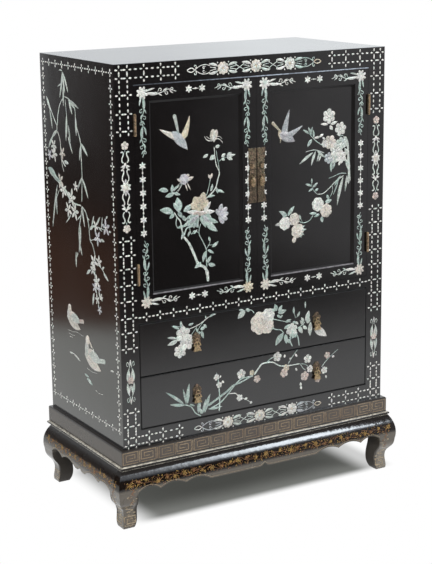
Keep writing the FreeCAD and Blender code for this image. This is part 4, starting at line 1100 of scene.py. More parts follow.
def door_border(inlay, left, right, stars, tan_corner=None):
    """Corner flowers with their sprays, star chains up both stiles and star pairs on both rails."""
    low, high = 386.0, 925.0
    middle = 0.5 * (left + right)
    for x, inward in ((left, 1.0), (right, -1.0)):
        for y, upward in ((low, 1.0), (high, -1.0)):
            tint = "tan" if (x, y) == tan_corner else "white" if upward < 0 else "cream"
            inlay.ring_of_petals(x, y, 17.0, 8, 22.5, 8.5, tint)
            inlay.rose(x, y, 11.0, tint, 20.0)
            spray(inlay, (x, y), (inward, 0.0), (0.0, -upward), "white" if inward > 0 else "pale")
            spray(inlay, (x, y), (0.0, upward), (-inward, 0.0), "green", True)
    levels = np.linspace(568.0, 741.0, 6)
    knots = 0.5 * (levels[1:] + levels[:-1])
    for x in stars:
        inlay.star(x, levels, 10.5)
        inlay.dot(np.full(5, x), knots, 5.4)
        for y in knots:
            inlay.stem([(x, y - 8.0), (x, y), (x, y + 8.0)], 1.7, 1.7, "white")
    for y in (low - 1.0, high + 1.0):
        inlay.star(np.array([middle - 19.5, middle + 19.5]), y, 10.5)
        inlay.dot(middle, y, 5.4, tall=1.3, turn=0.0)
        inlay.stem([(middle - 10.0, y), (middle, y), (middle + 10.0, y)], 1.7, 1.7, "white")


def blades(inlay, rows, tint="green", lift=0.1, shape=leaf_shape):
    """Leaves from foot to tip: rows of foot x and y, tip x and y, width, and bend in degrees."""
    rows = np.asarray(rows, float)
    step = rows[:, 2:4] - rows[:, :2]
    long = np.hypot(step[:, 0], step[:, 1])
    turn = np.degrees(np.arctan2(step[:, 1], step[:, 0]))
    look = {"tint": inlay.colors[tint], "cut": 1.0, "lift": lift}
    inlay.bent(rows[:, 0], rows[:, 1], long, rows[:, 4], turn, rows[:, 5], shape, 11, **look)


def stems(inlay, rows):
    """Smooth stems: rows of their points, the width at both ends, and the tint where it isn't green."""
    for row in rows:
        inlay.stem(*row)


def swallow(inlay):
    """Swallow that dives to the right with both wings out."""
    blades(inlay, [(196, 799, 129, 829, 29, -14)], "cream", 0.25, wing_shape)
    blades(inlay, [(197, 798, 218, 857, 26, 20)], "tan", 0.15, wing_shape)
    blades(inlay, [(186, 808, 173, 864, 13, 4)], "pale", 0.1, tail_shape)
    blades(inlay, [(166, 820, 211, 770, 31, -10)], "grey", 0.5)
    blades(inlay, [(206, 778, 211, 768, 3, 0)], "tan", 0.3)
    inlay.dot(203.0, 783.0, 2.4, "green", lift=1.3)


def rose_branch(inlay):
    """Rose bush that climbs from the foot of the left panel."""
    twigs = (
        ([(267, 413), (264, 440), (256, 455), (238, 466), (226, 492), (212, 522), (194, 545)],
         10.5, 7.0, "pale"),
        ([(194, 545), (190, 565), (186, 585), (176, 598), (168, 612)], 6.0, 2.8, "pale"),
        ([(196, 545), (205, 565), (226, 570), (236, 590), (238, 612)], 5.0, 3.4),
        ([(176, 598), (173, 580), (178, 568)], 3.0, 2.0),
        ([(247, 575), (241, 548), (252, 525), (262, 503), (262, 480), (264, 452)], 2.4, 3.6),
        ([(213, 566), (218, 548), (228, 556), (241, 548)], 2.2, 2.0),
        ([(258, 636), (268, 652), (274, 672), (278, 690)], 2.6, 1.8),
        ([(262, 636), (282, 650), (294, 664), (300, 684), (305, 702), (296, 722), (292, 745), (290, 772)],
         4.8, 2.4, "pale"),
        ([(305, 702), (303, 722), (299, 742), (296, 762)], 2.0, 1.6),
        ([(303, 730), (316, 738), (330, 740)], 1.8, 1.4), ([(262, 503), (270, 512), (276, 524)], 2.0, 1.6),
        ([(266, 512), (284, 512)], 1.8, 1.4), ([(262, 470), (268, 466), (276, 458)], 1.8, 1.4),
        ([(166, 665), (182, 676), (196, 684)], 1.6, 1.4), ([(172, 660), (190, 676)], 1.5, 1.2),
    )
    stems(inlay, twigs)
    leaves = (
        (152, 668, 124, 673, 15, 26), (170, 662, 142, 654, 14, -22), (162, 664, 164, 684, 12, 24),
        (168, 662, 188, 655, 10, 10), (166, 668, 184, 680, 7, -16), (182, 610, 178, 649, 27, 10),
        (176, 618, 166, 636, 13, 20), (196, 610, 222, 628, 18, 20), (166, 610, 126, 621, 21, 24),
        (168, 608, 154, 596, 13, -16), (180, 612, 190, 594, 14, -20), (192, 600, 204, 584, 12, 20),
        (240, 598, 200, 588, 15, 14), (240, 596, 187, 568, 15, -16), (240, 598, 226, 562, 22, 10),
        (250, 598, 257, 566, 21, -10), (258, 600, 281, 582, 17, 14), (206, 586, 226, 566, 17, 18),
        (196, 572, 176, 568, 9, 12), (226, 590, 240, 562, 19, 14), (250, 592, 262, 560, 17, -14),
        (268, 584, 300, 570, 15, 18), (262, 580, 298, 546, 21, 22), (292, 655, 320, 646, 9, -38),
        (268, 640, 292, 642, 8, -24), (278, 655, 284, 674, 9, 22), (296, 664, 300, 646, 7, 10),
        (274, 522, 270, 536, 8, 12), (280, 506, 300, 520, 11, 18), (266, 500, 286, 488, 9, -14),
        (262, 498, 252, 468, 12, 24), (264, 466, 276, 484, 11, 20), (268, 462, 290, 456, 13, 16),
        (246, 470, 226, 456, 14, -20), (214, 556, 208, 542, 7, 10), (224, 548, 236, 558, 7, 16),
        (196, 556, 188, 536, 8, 12),
    )
    blades(inlay, leaves)
    leaves = (
        (272, 752, 256, 744, 10, 10), (292, 748, 276, 738, 16, -14), (294, 768, 308, 772, 11, -18),
        (312, 742, 324, 750, 11, 12), (312, 738, 322, 732, 9, -14), (328, 742, 343, 752, 14, 18),
        (330, 742, 355, 745, 9, 6), (328, 740, 346, 731, 12, -18),
    )
    blades(inlay, leaves, "pale")
    blades(inlay, [(278, 688, 283, 702, 9, 10), (277, 688, 272, 700, 7, -10)], "cream")
    inlay.rose(199.0, 694.0, 14.5, "lilac", 20.0, "lilac")
    leaves = ((192, 688, 178, 697, 9, 10), (208, 690, 228, 698, 11, -12), (206, 702, 216, 704, 9, 0))
    blades(inlay, leaves, "cream")
    blades(inlay, [(188, 686, 168, 664, 3, 14), (194, 682, 180, 662, 3, 12)], "white")
    blades(inlay, [(202, 684, 209, 662, 4, 0), (208, 684, 219, 663, 4, 0)], "cream")
    leaves = ((300, 588, 312, 618, 15, 0), (300, 587, 328, 607, 17, 0), (300, 585, 332, 592, 15, 0))
    blades(inlay, leaves, "lilac", 0.3, petal_shape)
    leaves = ((300, 583, 329, 576, 15, 0), (300, 582, 318, 566, 14, 0), (299, 588, 295, 606, 11, 0))
    blades(inlay, leaves, "lilac", 0.4, petal_shape)
    blades(inlay, [(240, 594, 212, 577, 15, 0), (252, 594, 276, 571, 15, 0)], "lilac", 0.3)
    leaves = ((252, 603, 204, 608, 16, -10), (248, 603, 291, 601, 16, 10), (256, 602, 278, 628, 15, 0))
    blades(inlay, leaves, "white", 0.5)
    blades(inlay, [(236, 600, 264, 599, 16, 0), (244, 604, 222, 600, 12, 0)], "rose", 0.7)
    leaves = (
        (242, 606, 218, 628, 22, 10), (244, 604, 228, 645, 27, 10), (246, 604, 242, 644, 24, 0),
        (252, 604, 256, 655, 25, 0), (252, 608, 269, 633, 19, -10),
    )
    blades(inlay, leaves, "tan", 0.7, petal_shape)


def rose_bud(inlay):
    leaves = ((289, 782, 286, 817, 20, 8), (291, 782, 298, 815, 17, -8), (290, 782, 279, 803, 12, 16))
    blades(inlay, leaves, "cream", 0.3, petal_shape)
    blades(inlay, [(289, 783, 291, 810, 12, 0)], "white", 0.8)
    twigs = (
        ([(286, 786), (272, 788), (264, 795), (262, 800)], 2.4, 1.2, "white"),
        ([(288, 788), (276, 793), (266, 800)], 2.0, 1.2, "white"),
        ([(292, 790), (304, 790), (314, 782), (316, 777)], 2.6, 1.2, "white"),
        ([(292, 794), (306, 796), (316, 788)], 2.2, 1.2, "white"),
    )
    stems(inlay, twigs)


def finch(inlay):
    """Small bird with one wing straight up and one held out."""
    blades(inlay, [(506, 780, 524, 850, 28, -10)], "grey", 0.2, wing_shape)
    blades(inlay, [(514, 778, 566, 804, 24, 14)], "grey", 0.15, wing_shape)
    blades(inlay, [(494, 794, 468, 820, 12, 6)], "tan", 0.1, tail_shape)
    blades(inlay, [(492, 800, 497, 770, 14, 10)], "tan", 0.3)
    blades(inlay, [(490, 788, 541, 763, 32, -10)], "lilac", 0.5)
    blades(inlay, [(496, 774, 494, 762, 3, 0)], "tan", 0.1)
    inlay.dot(527.0, 770.0, 2.4, "green", lift=1.4)


def blossom_spray(inlay):
    """Blossom and bamboo that lean in from the right of the right panel."""
    twigs = (
        ([(721, 634), (719, 672), (716, 715), (714, 745), (706, 764)], 12.0, 4.0, "pale"),
        ([(660, 735), (630, 745), (605, 762), (585, 782), (566, 792)], 3.0, 1.5),
        ([(700, 766), (686, 766), (676, 772)], 2.4, 1.6),
        ([(640, 722), (606, 734), (572, 731)], 2.2, 1.4, "pale"),
        ([(712, 660), (690, 662), (668, 656), (650, 652)], 2.4, 1.5),
        ([(704, 656), (676, 642), (650, 622), (632, 612), (612, 612)], 3.4, 2.6, "pale"),
        ([(614, 612), (602, 624), (596, 640), (597, 654)], 2.6, 1.4),
        ([(664, 632), (664, 614), (656, 600), (648, 594)], 2.2, 1.5),
        ([(601, 556), (588, 542), (568, 538), (550, 546)], 3.0, 1.8), ([(566, 538), (558, 556)], 1.8, 1.4),
    )
    stems(inlay, twigs)
    leaves = (
        (596, 776, 584, 798, 9, -12), (590, 778, 598, 798, 8, 10), (602, 768, 600, 790, 8, 14),
        (586, 780, 568, 792, 8, 10), (596, 764, 582, 744, 12, 16), (662, 700, 660, 668, 10, 20),
        (672, 696, 664, 676, 8, -10), (692, 656, 670, 628, 7, 12), (684, 646, 666, 604, 5, -14),
        (596, 636, 574, 644, 8, 14), (600, 630, 584, 622, 7, -12), (600, 632, 616, 644, 9, -14),
        (606, 622, 618, 628, 8, 14), (596, 644, 596, 658, 7, 0), (650, 596, 646, 608, 10, 0),
        (640, 588, 662, 592, 14, 12), (612, 560, 588, 562, 10, -14), (622, 556, 604, 550, 9, 10),
        (628, 548, 632, 532, 13, 8), (516, 562, 490, 578, 14, 16), (518, 562, 540, 588, 13, -14),
        (512, 562, 500, 566, 12, 0), (560, 548, 556, 562, 6, 0), (556, 518, 580, 520, 7, 16),
        (552, 514, 572, 504, 8, -12), (560, 526, 574, 530, 6, 10), (556, 508, 562, 498, 6, 0),
    )
    blades(inlay, leaves)
    leaves = (
        (600, 728, 555, 699, 10, 8), (608, 730, 594, 692, 9, 10), (622, 730, 612, 701, 7, -8),
        (612, 734, 640, 710, 9, 12), (626, 718, 618, 702, 6, 0), (700, 764, 718, 726, 15, -16),
        (704, 730, 718, 706, 12, -14), (708, 700, 718, 668, 12, -10), (716, 654, 718, 630, 12, -10),
        (700, 652, 680, 573, 12, 12), (712, 656, 706, 609, 8, -8),
    )
    blades(inlay, leaves, "pale")
    leaves = ((648, 800, 624, 802, 9, 10), (656, 800, 680, 806, 10, 10), (654, 796, 664, 784, 12, 0))
    blades(inlay, leaves, "white", 0.2)
    leaves = ((622, 768, 602, 766, 8, 10), (620, 768, 634, 776, 9, 12), (630, 766, 640, 760, 8, 0))
    blades(inlay, leaves, "white", 0.2)
    for x, y, radius, tint in (
        (652, 822, 21, "white"), (690, 785, 19, "white"), (656, 751, 20, "cream"), (638, 748, 11, "white"),
        (692, 744, 18, "pale"), (676, 728, 21, "white"), (652, 708, 16, "grey"), (692, 708, 19, "white"),
        (668, 706, 15, "pale"),
    ):
        inlay.blossom(x, y, radius, tint, 6, 9.0 * (x % 11.0), "white")
    inlay.dot(686.0, 689.0, 8.0, "white")
    inlay.rose(616.0, 584.0, 20.0, "white", 12.0)
    inlay.rose(643.0, 564.0, 20.0, "cream", 30.0, "tan")
    inlay.rose(509.0, 543.0, 19.0, "white", 5.0)
    inlay.rose(539.0, 551.0, 18.0, "cream", 25.0)
    inlay.rose(550.0, 518.0, 21.0, "cream", 0.0)
    blades(inlay, [(496, 543, 477, 541, 11, 8)], "white", 0.2)
    blades(inlay, [(543, 508, 536, 486, 16, 0)], "cream", 0.1, petal_shape)


def drawer_peony(inlay):
    """Peony, its leaves and a blossom twig across the upper drawer."""
    twigs = (
        ([(286, 326), (262, 320), (236, 306), (210, 298), (196, 296)], 3.0, 2.2, "white"),
        ([(250, 314), (236, 300), (228, 288)], 2.2, 1.6), ([(228, 302), (214, 286), (206, 276)], 2.2, 1.6),
        ([(198, 298), (176, 306), (152, 313)], 2.4, 1.4),
        ([(194, 294), (184, 308), (178, 322)], 2.2, 1.2, "white"),
        ([(462, 286), (482, 279), (504, 272), (524, 268)], 3.0, 2.2),
        ([(458, 262), (474, 254), (490, 250), (500, 238)], 3.4, 2.6),
        ([(512, 252), (532, 246), (552, 250), (570, 262)], 3.4, 2.8),
        ([(524, 240), (520, 216), (528, 196)], 3.0, 4.4), ([(536, 240), (546, 220), (550, 194)], 4.0, 4.0),
        ([(530, 226), (524, 220), (516, 226)], 1.8, 1.2), ([(538, 276), (534, 290), (532, 304)], 1.8, 1.4),
        ([(540, 276), (548, 288)], 1.8, 1.4), ([(404, 310), (398, 318), (386, 322), (364, 322)], 2.8, 1.8),
    )
    stems(inlay, twigs)
    leaves = (
        (174, 300, 150, 312, 8, 12), (180, 302, 176, 322, 7, 0), (200, 308, 216, 310, 8, 16),
        (228, 284, 224, 296, 8, 0), (238, 282, 224, 280, 10, 0), (236, 290, 252, 296, 12, 14),
        (240, 286, 246, 264, 11, 12), (246, 302, 256, 292, 10, 0), (262, 320, 282, 328, 7, 12),
        (254, 318, 252, 326, 5, 0), (372, 322, 356, 326, 9, 0), (390, 318, 378, 326, 12, 0),
        (474, 308, 456, 312, 10, 0), (476, 306, 470, 326, 15, 8), (482, 304, 494, 320, 12, 12),
        (480, 300, 508, 304, 16, 12), (478, 294, 488, 286, 9, 0), (486, 284, 496, 292, 8, 0),
        (504, 270, 524, 276, 10, 12), (528, 268, 540, 262, 8, 0), (498, 240, 472, 208, 21, 18),
        (504, 236, 508, 208, 15, -10), (512, 220, 522, 208, 12, 10), (500, 252, 522, 262, 12, 10),
        (532, 290, 532, 310, 8, 0), (544, 280, 552, 294, 8, 10), (570, 300, 570, 320, 6, 0),
    )
    blades(inlay, leaves)
    leaves = (
        (536, 266, 548, 258, 9, 0), (548, 250, 560, 230, 16, -14), (564, 252, 552, 268, 10, 12),
        (566, 262, 556, 276, 10, 0), (572, 262, 582, 292, 17, 14), (576, 256, 584, 272, 16, 10),
        (562, 250, 576, 240, 12, 0), (588, 258, 586, 218, 17, 14), (376, 320, 352, 302, 20, 14),
        (166, 276, 136, 282, 8, 10), (168, 272, 136, 262, 14, -14),
    )
    blades(inlay, leaves, "pale")
    blades(inlay, [(598, 238, 642, 209, 27, -18)], "white")
    for x, y, radius, tint in (
        (184, 284, 23, "white"), (196, 262, 22, "white"), (174, 240, 19, "white"), (525, 246, 19, "white"),
        (532, 232, 12, "green"),
    ):
        inlay.blossom(x, y, radius, tint, 6, 8.0 * (x % 9.0), "white")
    inlay.rose(448.0, 296.0, 22.0, "white", 9.0)
    inlay.rose(446.0, 268.0, 22.0, "cream", 33.0)
    inlay.rose(424.0, 280.0, 33.0, "cream", 4.0)


def drawer_plum(inlay):
    """Bamboo and a flowering plum branch across the lower drawer."""
    twigs = (
        ([(254, 74), (286, 90), (318, 106), (336, 118), (362, 124), (402, 138)], 7.5, 5.0),
        ([(262, 66), (296, 78), (322, 100), (350, 126), (370, 134), (402, 134)], 4.5, 3.0),
        ([(402, 136), (416, 152), (430, 164), (462, 163), (484, 150), (508, 145), (556, 144)],
         6.0, 3.2, "pale"),
        ([(442, 164), (456, 174), (472, 178)], 3.0, 2.0),
        ([(291, 52), (293, 82), (292, 112), (290, 136), (284, 166)], 5.5, 1.6),
        ([(318, 98), (342, 95), (352, 86), (372, 74), (394, 60)], 3.4, 1.6, "white"),
        ([(512, 148), (524, 164), (534, 176), (546, 187)], 3.0, 1.8),
        ([(552, 146), (562, 130), (572, 122)], 3.0, 2.0), ([(556, 144), (572, 138), (584, 128)], 2.4, 1.6),
        ([(624, 122), (636, 134), (650, 146), (668, 158), (682, 166)], 2.8, 1.6),
        ([(182, 92), (204, 82), (218, 62), (236, 50)], 3.0, 4.4),
    )
    stems(inlay, twigs)
    leaves = (
        (184, 92, 128, 135, 10, 8), (186, 90, 140, 99, 10, -10), (190, 92, 180, 136, 8, 8),
        (194, 92, 200, 148, 13, -12), (200, 90, 216, 82, 6, 0), (226, 60, 230, 104, 13, 10),
        (240, 56, 250, 96, 8, -8), (246, 58, 264, 108, 14, -14), (238, 56, 232, 72, 12, 0),
        (256, 66, 302, 66, 8, 10), (300, 96, 314, 106, 5, 0),
    )
    blades(inlay, leaves)
    for x, y, radius, tint in (
        (362, 146, 14, "white"), (412, 124, 11, "rose"), (500, 126, 13, "rose"), (508, 140, 10, "tan"),
        (478, 176, 14, "white"), (396, 144, 8, "tan"), (578, 154, 13, "white"), (568, 106, 14, "rose"),
        (586, 124, 11, "white"), (644, 154, 10, "rose"), (634, 112, 11, "white"), (612, 90, 10, "rose"),
        (356, 80, 10, "white"), (284, 150, 9, "white"), (292, 128, 9, "white"),
    ):
        inlay.blossom(x, y, radius, tint, 5, 8.0 * (x % 9.0), "cream")
    for x, y, wide in (
        (502, 174, 7), (540, 170, 7), (555, 84, 8), (556, 74, 8), (304, 134, 7), (540, 130, 7),
        (376, 74, 8), (392, 60, 7), (664, 147, 7), (640, 92, 7), (296, 150, 6), (520, 164, 5),
        (538, 172, 6),
    ):
        inlay.dot(x, y, wide, "white", 1.3, 0.2, 9.0 * (x % 17.0))


def willow(inlay):
    """Willow and blossom that hang down the side of the case, over two ducks."""
    twigs = (
        ([(141, 962), (145, 930), (146, 896)], 4.6, 3.2, "pale"),
        ([(146, 895), (178, 890), (210, 868), (214, 830), (238, 785), (240, 740), (241, 690), (234, 620)],
         3.4, 3.6, "pale"),
        ([(146, 895), (118, 870), (103, 838), (98, 815), (86, 822), (62, 850), (34, 884)],
         3.0, 3.4, "pale"),
        ([(152, 893), (160, 832), (156, 792)], 2.4, 2.0, "pale"),
        ([(96, 815), (92, 796), (64, 778), (38, 752)], 3.4, 2.2, "pale"),
        ([(96, 800), (112, 776), (116, 740), (120, 712), (130, 690)], 2.6, 1.8, "white"),
        ([(36, 686), (66, 672), (98, 660), (118, 648), (140, 640), (158, 625), (184, 615), (233, 615)],
         15.0, 4.0, "pale"),
        ([(233, 615), (258, 600), (272, 570), (278, 532), (292, 520), (304, 492), (302, 470)],
         4.6, 3.0, "pale"),
        ([(278, 530), (300, 536), (326, 540), (352, 543)], 2.4, 2.0, "pale"),
        ([(276, 560), (300, 570), (330, 574), (366, 572)], 2.4, 2.0, "pale"),
        ([(100, 642), (66, 596), (44, 530)], 2.4, 3.0, "pale"),
        ([(234, 615), (228, 590), (212, 545), (212, 505)], 3.0, 5.0, "pale"),
        ([(302, 470), (300, 430), (308, 392), (320, 352)], 2.6, 1.8, "pale"),
        ([(304, 478), (342, 466), (372, 444)], 2.4, 1.8, "pale"),
        ([(300, 474), (276, 450), (254, 436)], 2.4, 1.8, "pale"),
    )
    stems(inlay, twigs)
    leaves = (
        (141, 960, 119, 888, 11, -14), (136, 928, 108, 918, 5, 10), (141, 960, 154, 904, 11, 14),
        (144, 958, 172, 906, 9, -16), (146, 925, 141, 868, 10, 10), (140, 962, 118, 962, 5, 30),
        (170, 888, 234, 871, 10, -12), (176, 888, 194, 852, 12, 14), (182, 886, 206, 870, 10, 0),
        (214, 846, 215, 798, 11, 6), (160, 850, 150, 776, 11, 8), (166, 822, 176, 776, 8, -12),
        (164, 792, 188, 748, 8, 12), (238, 782, 279, 752, 12, -12), (239, 776, 230, 734, 10, 12),
        (241, 692, 212, 656, 9, 12), (242, 690, 274, 640, 10, -14), (236, 612, 248, 560, 9, 10),
        (34, 886, 62, 846, 12, 10), (52, 852, 66, 800, 8, -12), (96, 800, 60, 776, 12, 10),
        (66, 780, 36, 744, 11, 12), (86, 652, 46, 526, 10, 10), (76, 620, 78, 566, 8, 10),
        (134, 722, 162, 718, 12, 14), (120, 724, 144, 706, 7, 10), (222, 560, 208, 484, 13, -10),
        (212, 512, 228, 480, 10, 12), (190, 484, 188, 440, 8, 8), (200, 484, 196, 470, 6, 0),
        (168, 584, 130, 552, 5, -12), (226, 588, 204, 572, 5, 10), (262, 588, 278, 584, 5, 0),
        (278, 560, 300, 574, 12, 10), (290, 572, 304, 600, 9, 12), (318, 576, 342, 604, 8, -12),
        (346, 574, 354, 606, 7, 10), (330, 574, 350, 566, 7, 0), (374, 604, 384, 612, 7, 0),
        (388, 572, 402, 574, 7, 0), (340, 544, 362, 542, 9, 8), (274, 450, 250, 434, 11, 10),
        (344, 466, 356, 474, 8, 0), (352, 456, 378, 440, 10, -10), (292, 392, 282, 356, 11, 10),
        (320, 400, 330, 384, 9, 0),
    )
    blades(inlay, leaves, "pale")
    blades(inlay, [(30, 690, 84, 668, 24, -10), (52, 676, 110, 660, 16, 6)], "green", 0.5)
    for x, y, radius, tint in (
        (70, 756, 15, "white"), (72, 732, 17, "white"), (42, 728, 13, "lilac"), (124, 742, 15, "cream"),
        (104, 664, 18, "cream"), (122, 640, 18, "white"), (172, 628, 21, "white"), (150, 592, 18, "white"),
        (190, 592, 20, "white"), (200, 662, 12, "white"), (312, 574, 13, "white"), (372, 580, 19, "lilac"),
        (322, 544, 18, "lilac"), (296, 476, 18, "white"), (326, 482, 14, "white"), (290, 454, 14, "white"),
        (310, 426, 16, "white"), (298, 408, 13, "lilac"), (322, 410, 10, "lilac"), (310, 378, 12, "white"),
        (334, 388, 9, "white"), (322, 352, 11, "lilac"),
    ):
        inlay.ring_of_petals(x, y, 1.25 * radius, 5, 8.0 * (x % 9.0), 0.62 * radius, tint, shape=leaf_shape)
        inlay.dot(x, y, 0.36 * radius, "white", lift=0.35)


def duck(inlay, x, y, size, neck, tail):
    """Swimming duck that looks back: body, wing, tail, neck and head, from the middle of its body."""

    def put(rows, tint, lift, shape=leaf_shape):
        rows = np.array(rows, float)
        rows[:, :5] *= size
        rows[:, [0, 2]] += x
        rows[:, [1, 3]] += y
        blades(inlay, rows, tint, lift, shape)

    put([(-50, 5, 40, -20, 38, 12), (-48, 6, 38, 6, 40, -8)], "cream", 0.2)
    put([(22, 2, 66, 10, 14, -8)], tail, 0.3, bar_shape)
    put([(-42, -4, -35, 36 + neck, 26, 24)], "white", 0.3)
    put([(-24, 8, 36, 8, 27, -18), (-10, -2, 42, 2, 16, -10)], "pale", 0.9)
    put([(-4, 4, 2, 18 + 0.8 * neck, 14, -10)], "white", 0.5)
    inlay.dot(x - 31.0 * size, y + (30.0 + neck) * size, 24.0 * size, "cream", 1.05, 0.7, 70.0)
    put([(-24, 30 + neck, -20 + 1.3 * neck, 16 + 0.9 * neck, 7, 0)], "cream", 0.5, bar_shape)
    inlay.dot(x - 29.0 * size, y + (33.0 + neck) * size, 2.6, "green", lift=2.0)


def pond(inlay):
    """Two ducks on the water, with ripples and reed stones."""
    duck(inlay, 164.0, 288.0, 0.92, 2.0, "rose")
    duck(inlay, 276.0, 205.0, 1.08, 13.0, "pale")
    blades(inlay, [(126, 190, 158, 192, 5, 6), (154, 191, 194, 179, 7, -8)], "white", 0.1)
    blades(inlay, [(218, 151, 246, 148, 8, 8), (232, 142, 264, 130, 13, -8)], "green", 0.2)
    blades(inlay, [(376, 200, 396, 202, 6, 4)], "white", 0.1)
    for ripple in (
        [(116, 252), (150, 253), (178, 258), (222, 255)],
        [(282, 122), (300, 118), (330, 121)],
        [(230, 172), (262, 168), (300, 172)],
        [(124, 244), (146, 243), (166, 246)],
        [(128, 236), (150, 236)],
    ):
        inlay.stem(ripple, 1.4, 1.0, "white")


def dress_door(context, door, seed, border, pictures):
    """A door's border on its stiles and rails, and its picture on the panel."""
    frame_inlay = front_inlay(context, seed)
    door_border(frame_inlay, *border)
    frame_inlay.finish(door + "_border", door)
    picture = front_inlay(context, seed + 1, PANEL)
    for draw in pictures:
        draw(picture)
    picture.finish(door + "_picture", door)


class CABINET_OT_left_door(bpy.types.Operator):
    """Lays the border and the rose branch with its swallow on the left door"""

    bl_idname = "cabinet.left_door"
    bl_label = "Left Door Inlay"

    def execute(self, context):
        border = (79.0, 386.0, (75.0, 388.0), (386.0, 386.0))
        dress_door(context, "left_door", 5, border, (swallow, rose_branch, rose_bud))
        return {"FINISHED"}


class CABINET_OT_right_door(bpy.types.Operator):
    """Lays the border and the blossom spray with its bird on the right door"""

    bl_idname = "cabinet.right_door"
    bl_label = "Right Door Inlay"

    def execute(self, context):
        border = (441.0, 751.0, (437.5, 752.5))
        dress_door(context, "right_door", 7, border, (finch, blossom_spray))
        return {"FINISHED"}


class CABINET_OT_drawers(bpy.types.Operator):
    """Lays the peony on the upper drawer and the plum branch on the lower one"""

    bl_idname = "cabinet.drawers"
    bl_label = "Drawer Inlay"

    def execute(self, context):
        for seed, name, picture in ((9, "upper_drawer", drawer_peony), (10, "lower_drawer", drawer_plum)):
            inlay = front_inlay(context, seed)
            picture(inlay)
            inlay.finish(name + "_picture", name)
        return {"FINISHED"}


def side_lattice(deep):
    """Nodes and links of the single chain round a side."""
    columns = (18.0, deep - 19.0)
    rows = (45.0, 978.0)
    up = np.linspace(*rows, 25)
    over = np.linspace(*columns, 11)
    nodes = [(x, y) for x in columns for y in up]
    nodes += [(x, y) for y in rows for x in over[1:-1]]
    links = [(x, y, 90.0) for x in columns for y in chain(up)]
    links += [(x, y, 0.0) for y in rows for x in chain(over)]
    return nodes, links


class CABINET_OT_sides(bpy.types.Operator):
    """Lays the chain border, the willow and the ducks on both sides of the case"""

    bl_idname = "cabinet.sides"
    bl_label = "Side Inlay"

    def execute(self, context):
        chain_links = side_lattice((BACK - FRONT) / MM)
        for name, x, y, right in (("left", -SIDE, BACK, FORWARD), ("right", SIDE, FRONT, BACKWARD)):
            ground = Ground((x, y, FLOOR_OF_CASE), right)
            border = shell_inlay(context, ground, 11)
            lattice(border, context.scene.cabinet_sizes, *chain_links, gap=1.4, upright=(8.6, 1.1))
            border.finish(name + "_side_border")
            picture = shell_inlay(context, ground, 12)
            willow(picture)
            pond(picture)
            picture.finish(name + "_side_picture")
        return {"FINISHED"}


# ---------------------------------------------------------------- gilding


# the fret in its frame on the rim, in millimetres: its height, its margins, and the rim's end and set-back
FRET_TALL, FRET_MARGIN = 31.0, 4.8
RIM_END, RIM_FACE_INSET = 6.0, 7.0

# the key on a foot and the vine over it, in millimetres
KEY_WIDE, KEY_TALL, KEY_STEP, KEY_LINE = 32.0, 25.0, 6.2, 1.7
KEY_INSET, KEY_UP, VINE_INSET = 24.0, 7.0, 38.0

# the swelling face in millimetres: how far it stands out, then its drum's radius and axis height
SWELL_OUT, SWELL_RADIUS, SWELL_AXIS = 33.0, 85.0, 111.0
BAND_MIDDLE = 127.5

# the scallops of an apron's lower edge from the leg inwards, as chord and rise; then the edge's middle peak
LONG_ARCHES = ((67.0, 12.5), (77.0, 11.0), (70.0, 9.0))
CUSP, PEAK, PEAK_HALF = 4.0, 11.0, 20.0


def square_spiral(wide, high, gap):
    """Corners of a square spiral: along the foot, up, across the top, then inwards by a gap at each turn."""
    near, far, level = 1.25 * gap, wide - 1.25 * gap, 2.0 * gap
    outer = [(wide, 0.0), (0.0, 0.0), (0.0, high), (wide, high), (wide, gap), (near, gap)]
    return np.array([*outer, (near, high - gap), (far, high - gap), (far, level), (2.0 * near, level)])


class CABINET_OT_fret(bpy.types.Operator):
    """Paints the square fret along the front of the rim, and the keys, vines and painted edge highlights on
    the legs
    """

    bl_idname = "cabinet.fret"
    bl_label = "Fret"

    def execute(self, context):
        sizes = context.scene.cabinet_sizes
        low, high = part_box("stand_rim")
        corner = (low.x + RIM_END * MM, low.y + RIM_FACE_INSET * MM, BEAD_HIGH + RIM_END * MM)
        fret = gilt_inlay(context, Ground(corner, RIGHT), 21)
        line = 0.5 * sizes.fret_line / MM
        count = sizes.fret_count
        pitch = 2.0 * (high.x / MM - RIM_END) / count
        wide = pitch - 2.0 * FRET_MARGIN
        unit = square_spiral(wide, FRET_TALL, sizes.fret_gap / MM)
        flipped = unit * (-1.0, 1.0) + (wide, 0.0)
        starts = np.stack([np.arange(count) * pitch + FRET_MARGIN, np.zeros(count)], -1)
        units = np.stack([unit, flipped] * (count // 2)) + starts[:, None]
        fret.lay(with_blunt_ends(units), line, fret.colors["line"], spread=0.12)
        bars = np.array([[(edge * pitch, 0.0), (edge * pitch, FRET_TALL)] for edge in range(1, count)])
        fret.lay(with_blunt_ends(bars), line, fret.colors["line"], spread=0.12)
        fret.finish("rim_fret")
        for side, outward in (("left", LEFT), ("right", RIGHT)):
            for number, way in enumerate((outward, FORWARD)):
                foot_key(context, f"stand_leg_front_{side}", way, number)
                leg_vine(context, f"stand_leg_front_{side}", way, number)
            foot_key(context, f"stand_leg_back_{side}", outward, 0)
        return {"FINISHED"}


def foot_key(context, leg, way, number):
    """A square spiral on one outer face of a foot."""
    ground = FootGround(leg, way)
    key = gilt_inlay(context, ground, 30 + number)
    start = (ground.outer + ground.inward * KEY_INSET, KEY_UP)
    corners = square_spiral(KEY_WIDE, KEY_TALL, KEY_STEP) * (ground.inward, 1.0) + start
    key.lay(with_blunt_ends(corners[None]), KEY_LINE, scaled(key.colors["edge"], 0.75), spread=0.0)
    key.finish(f"{leg}_key_{number}")


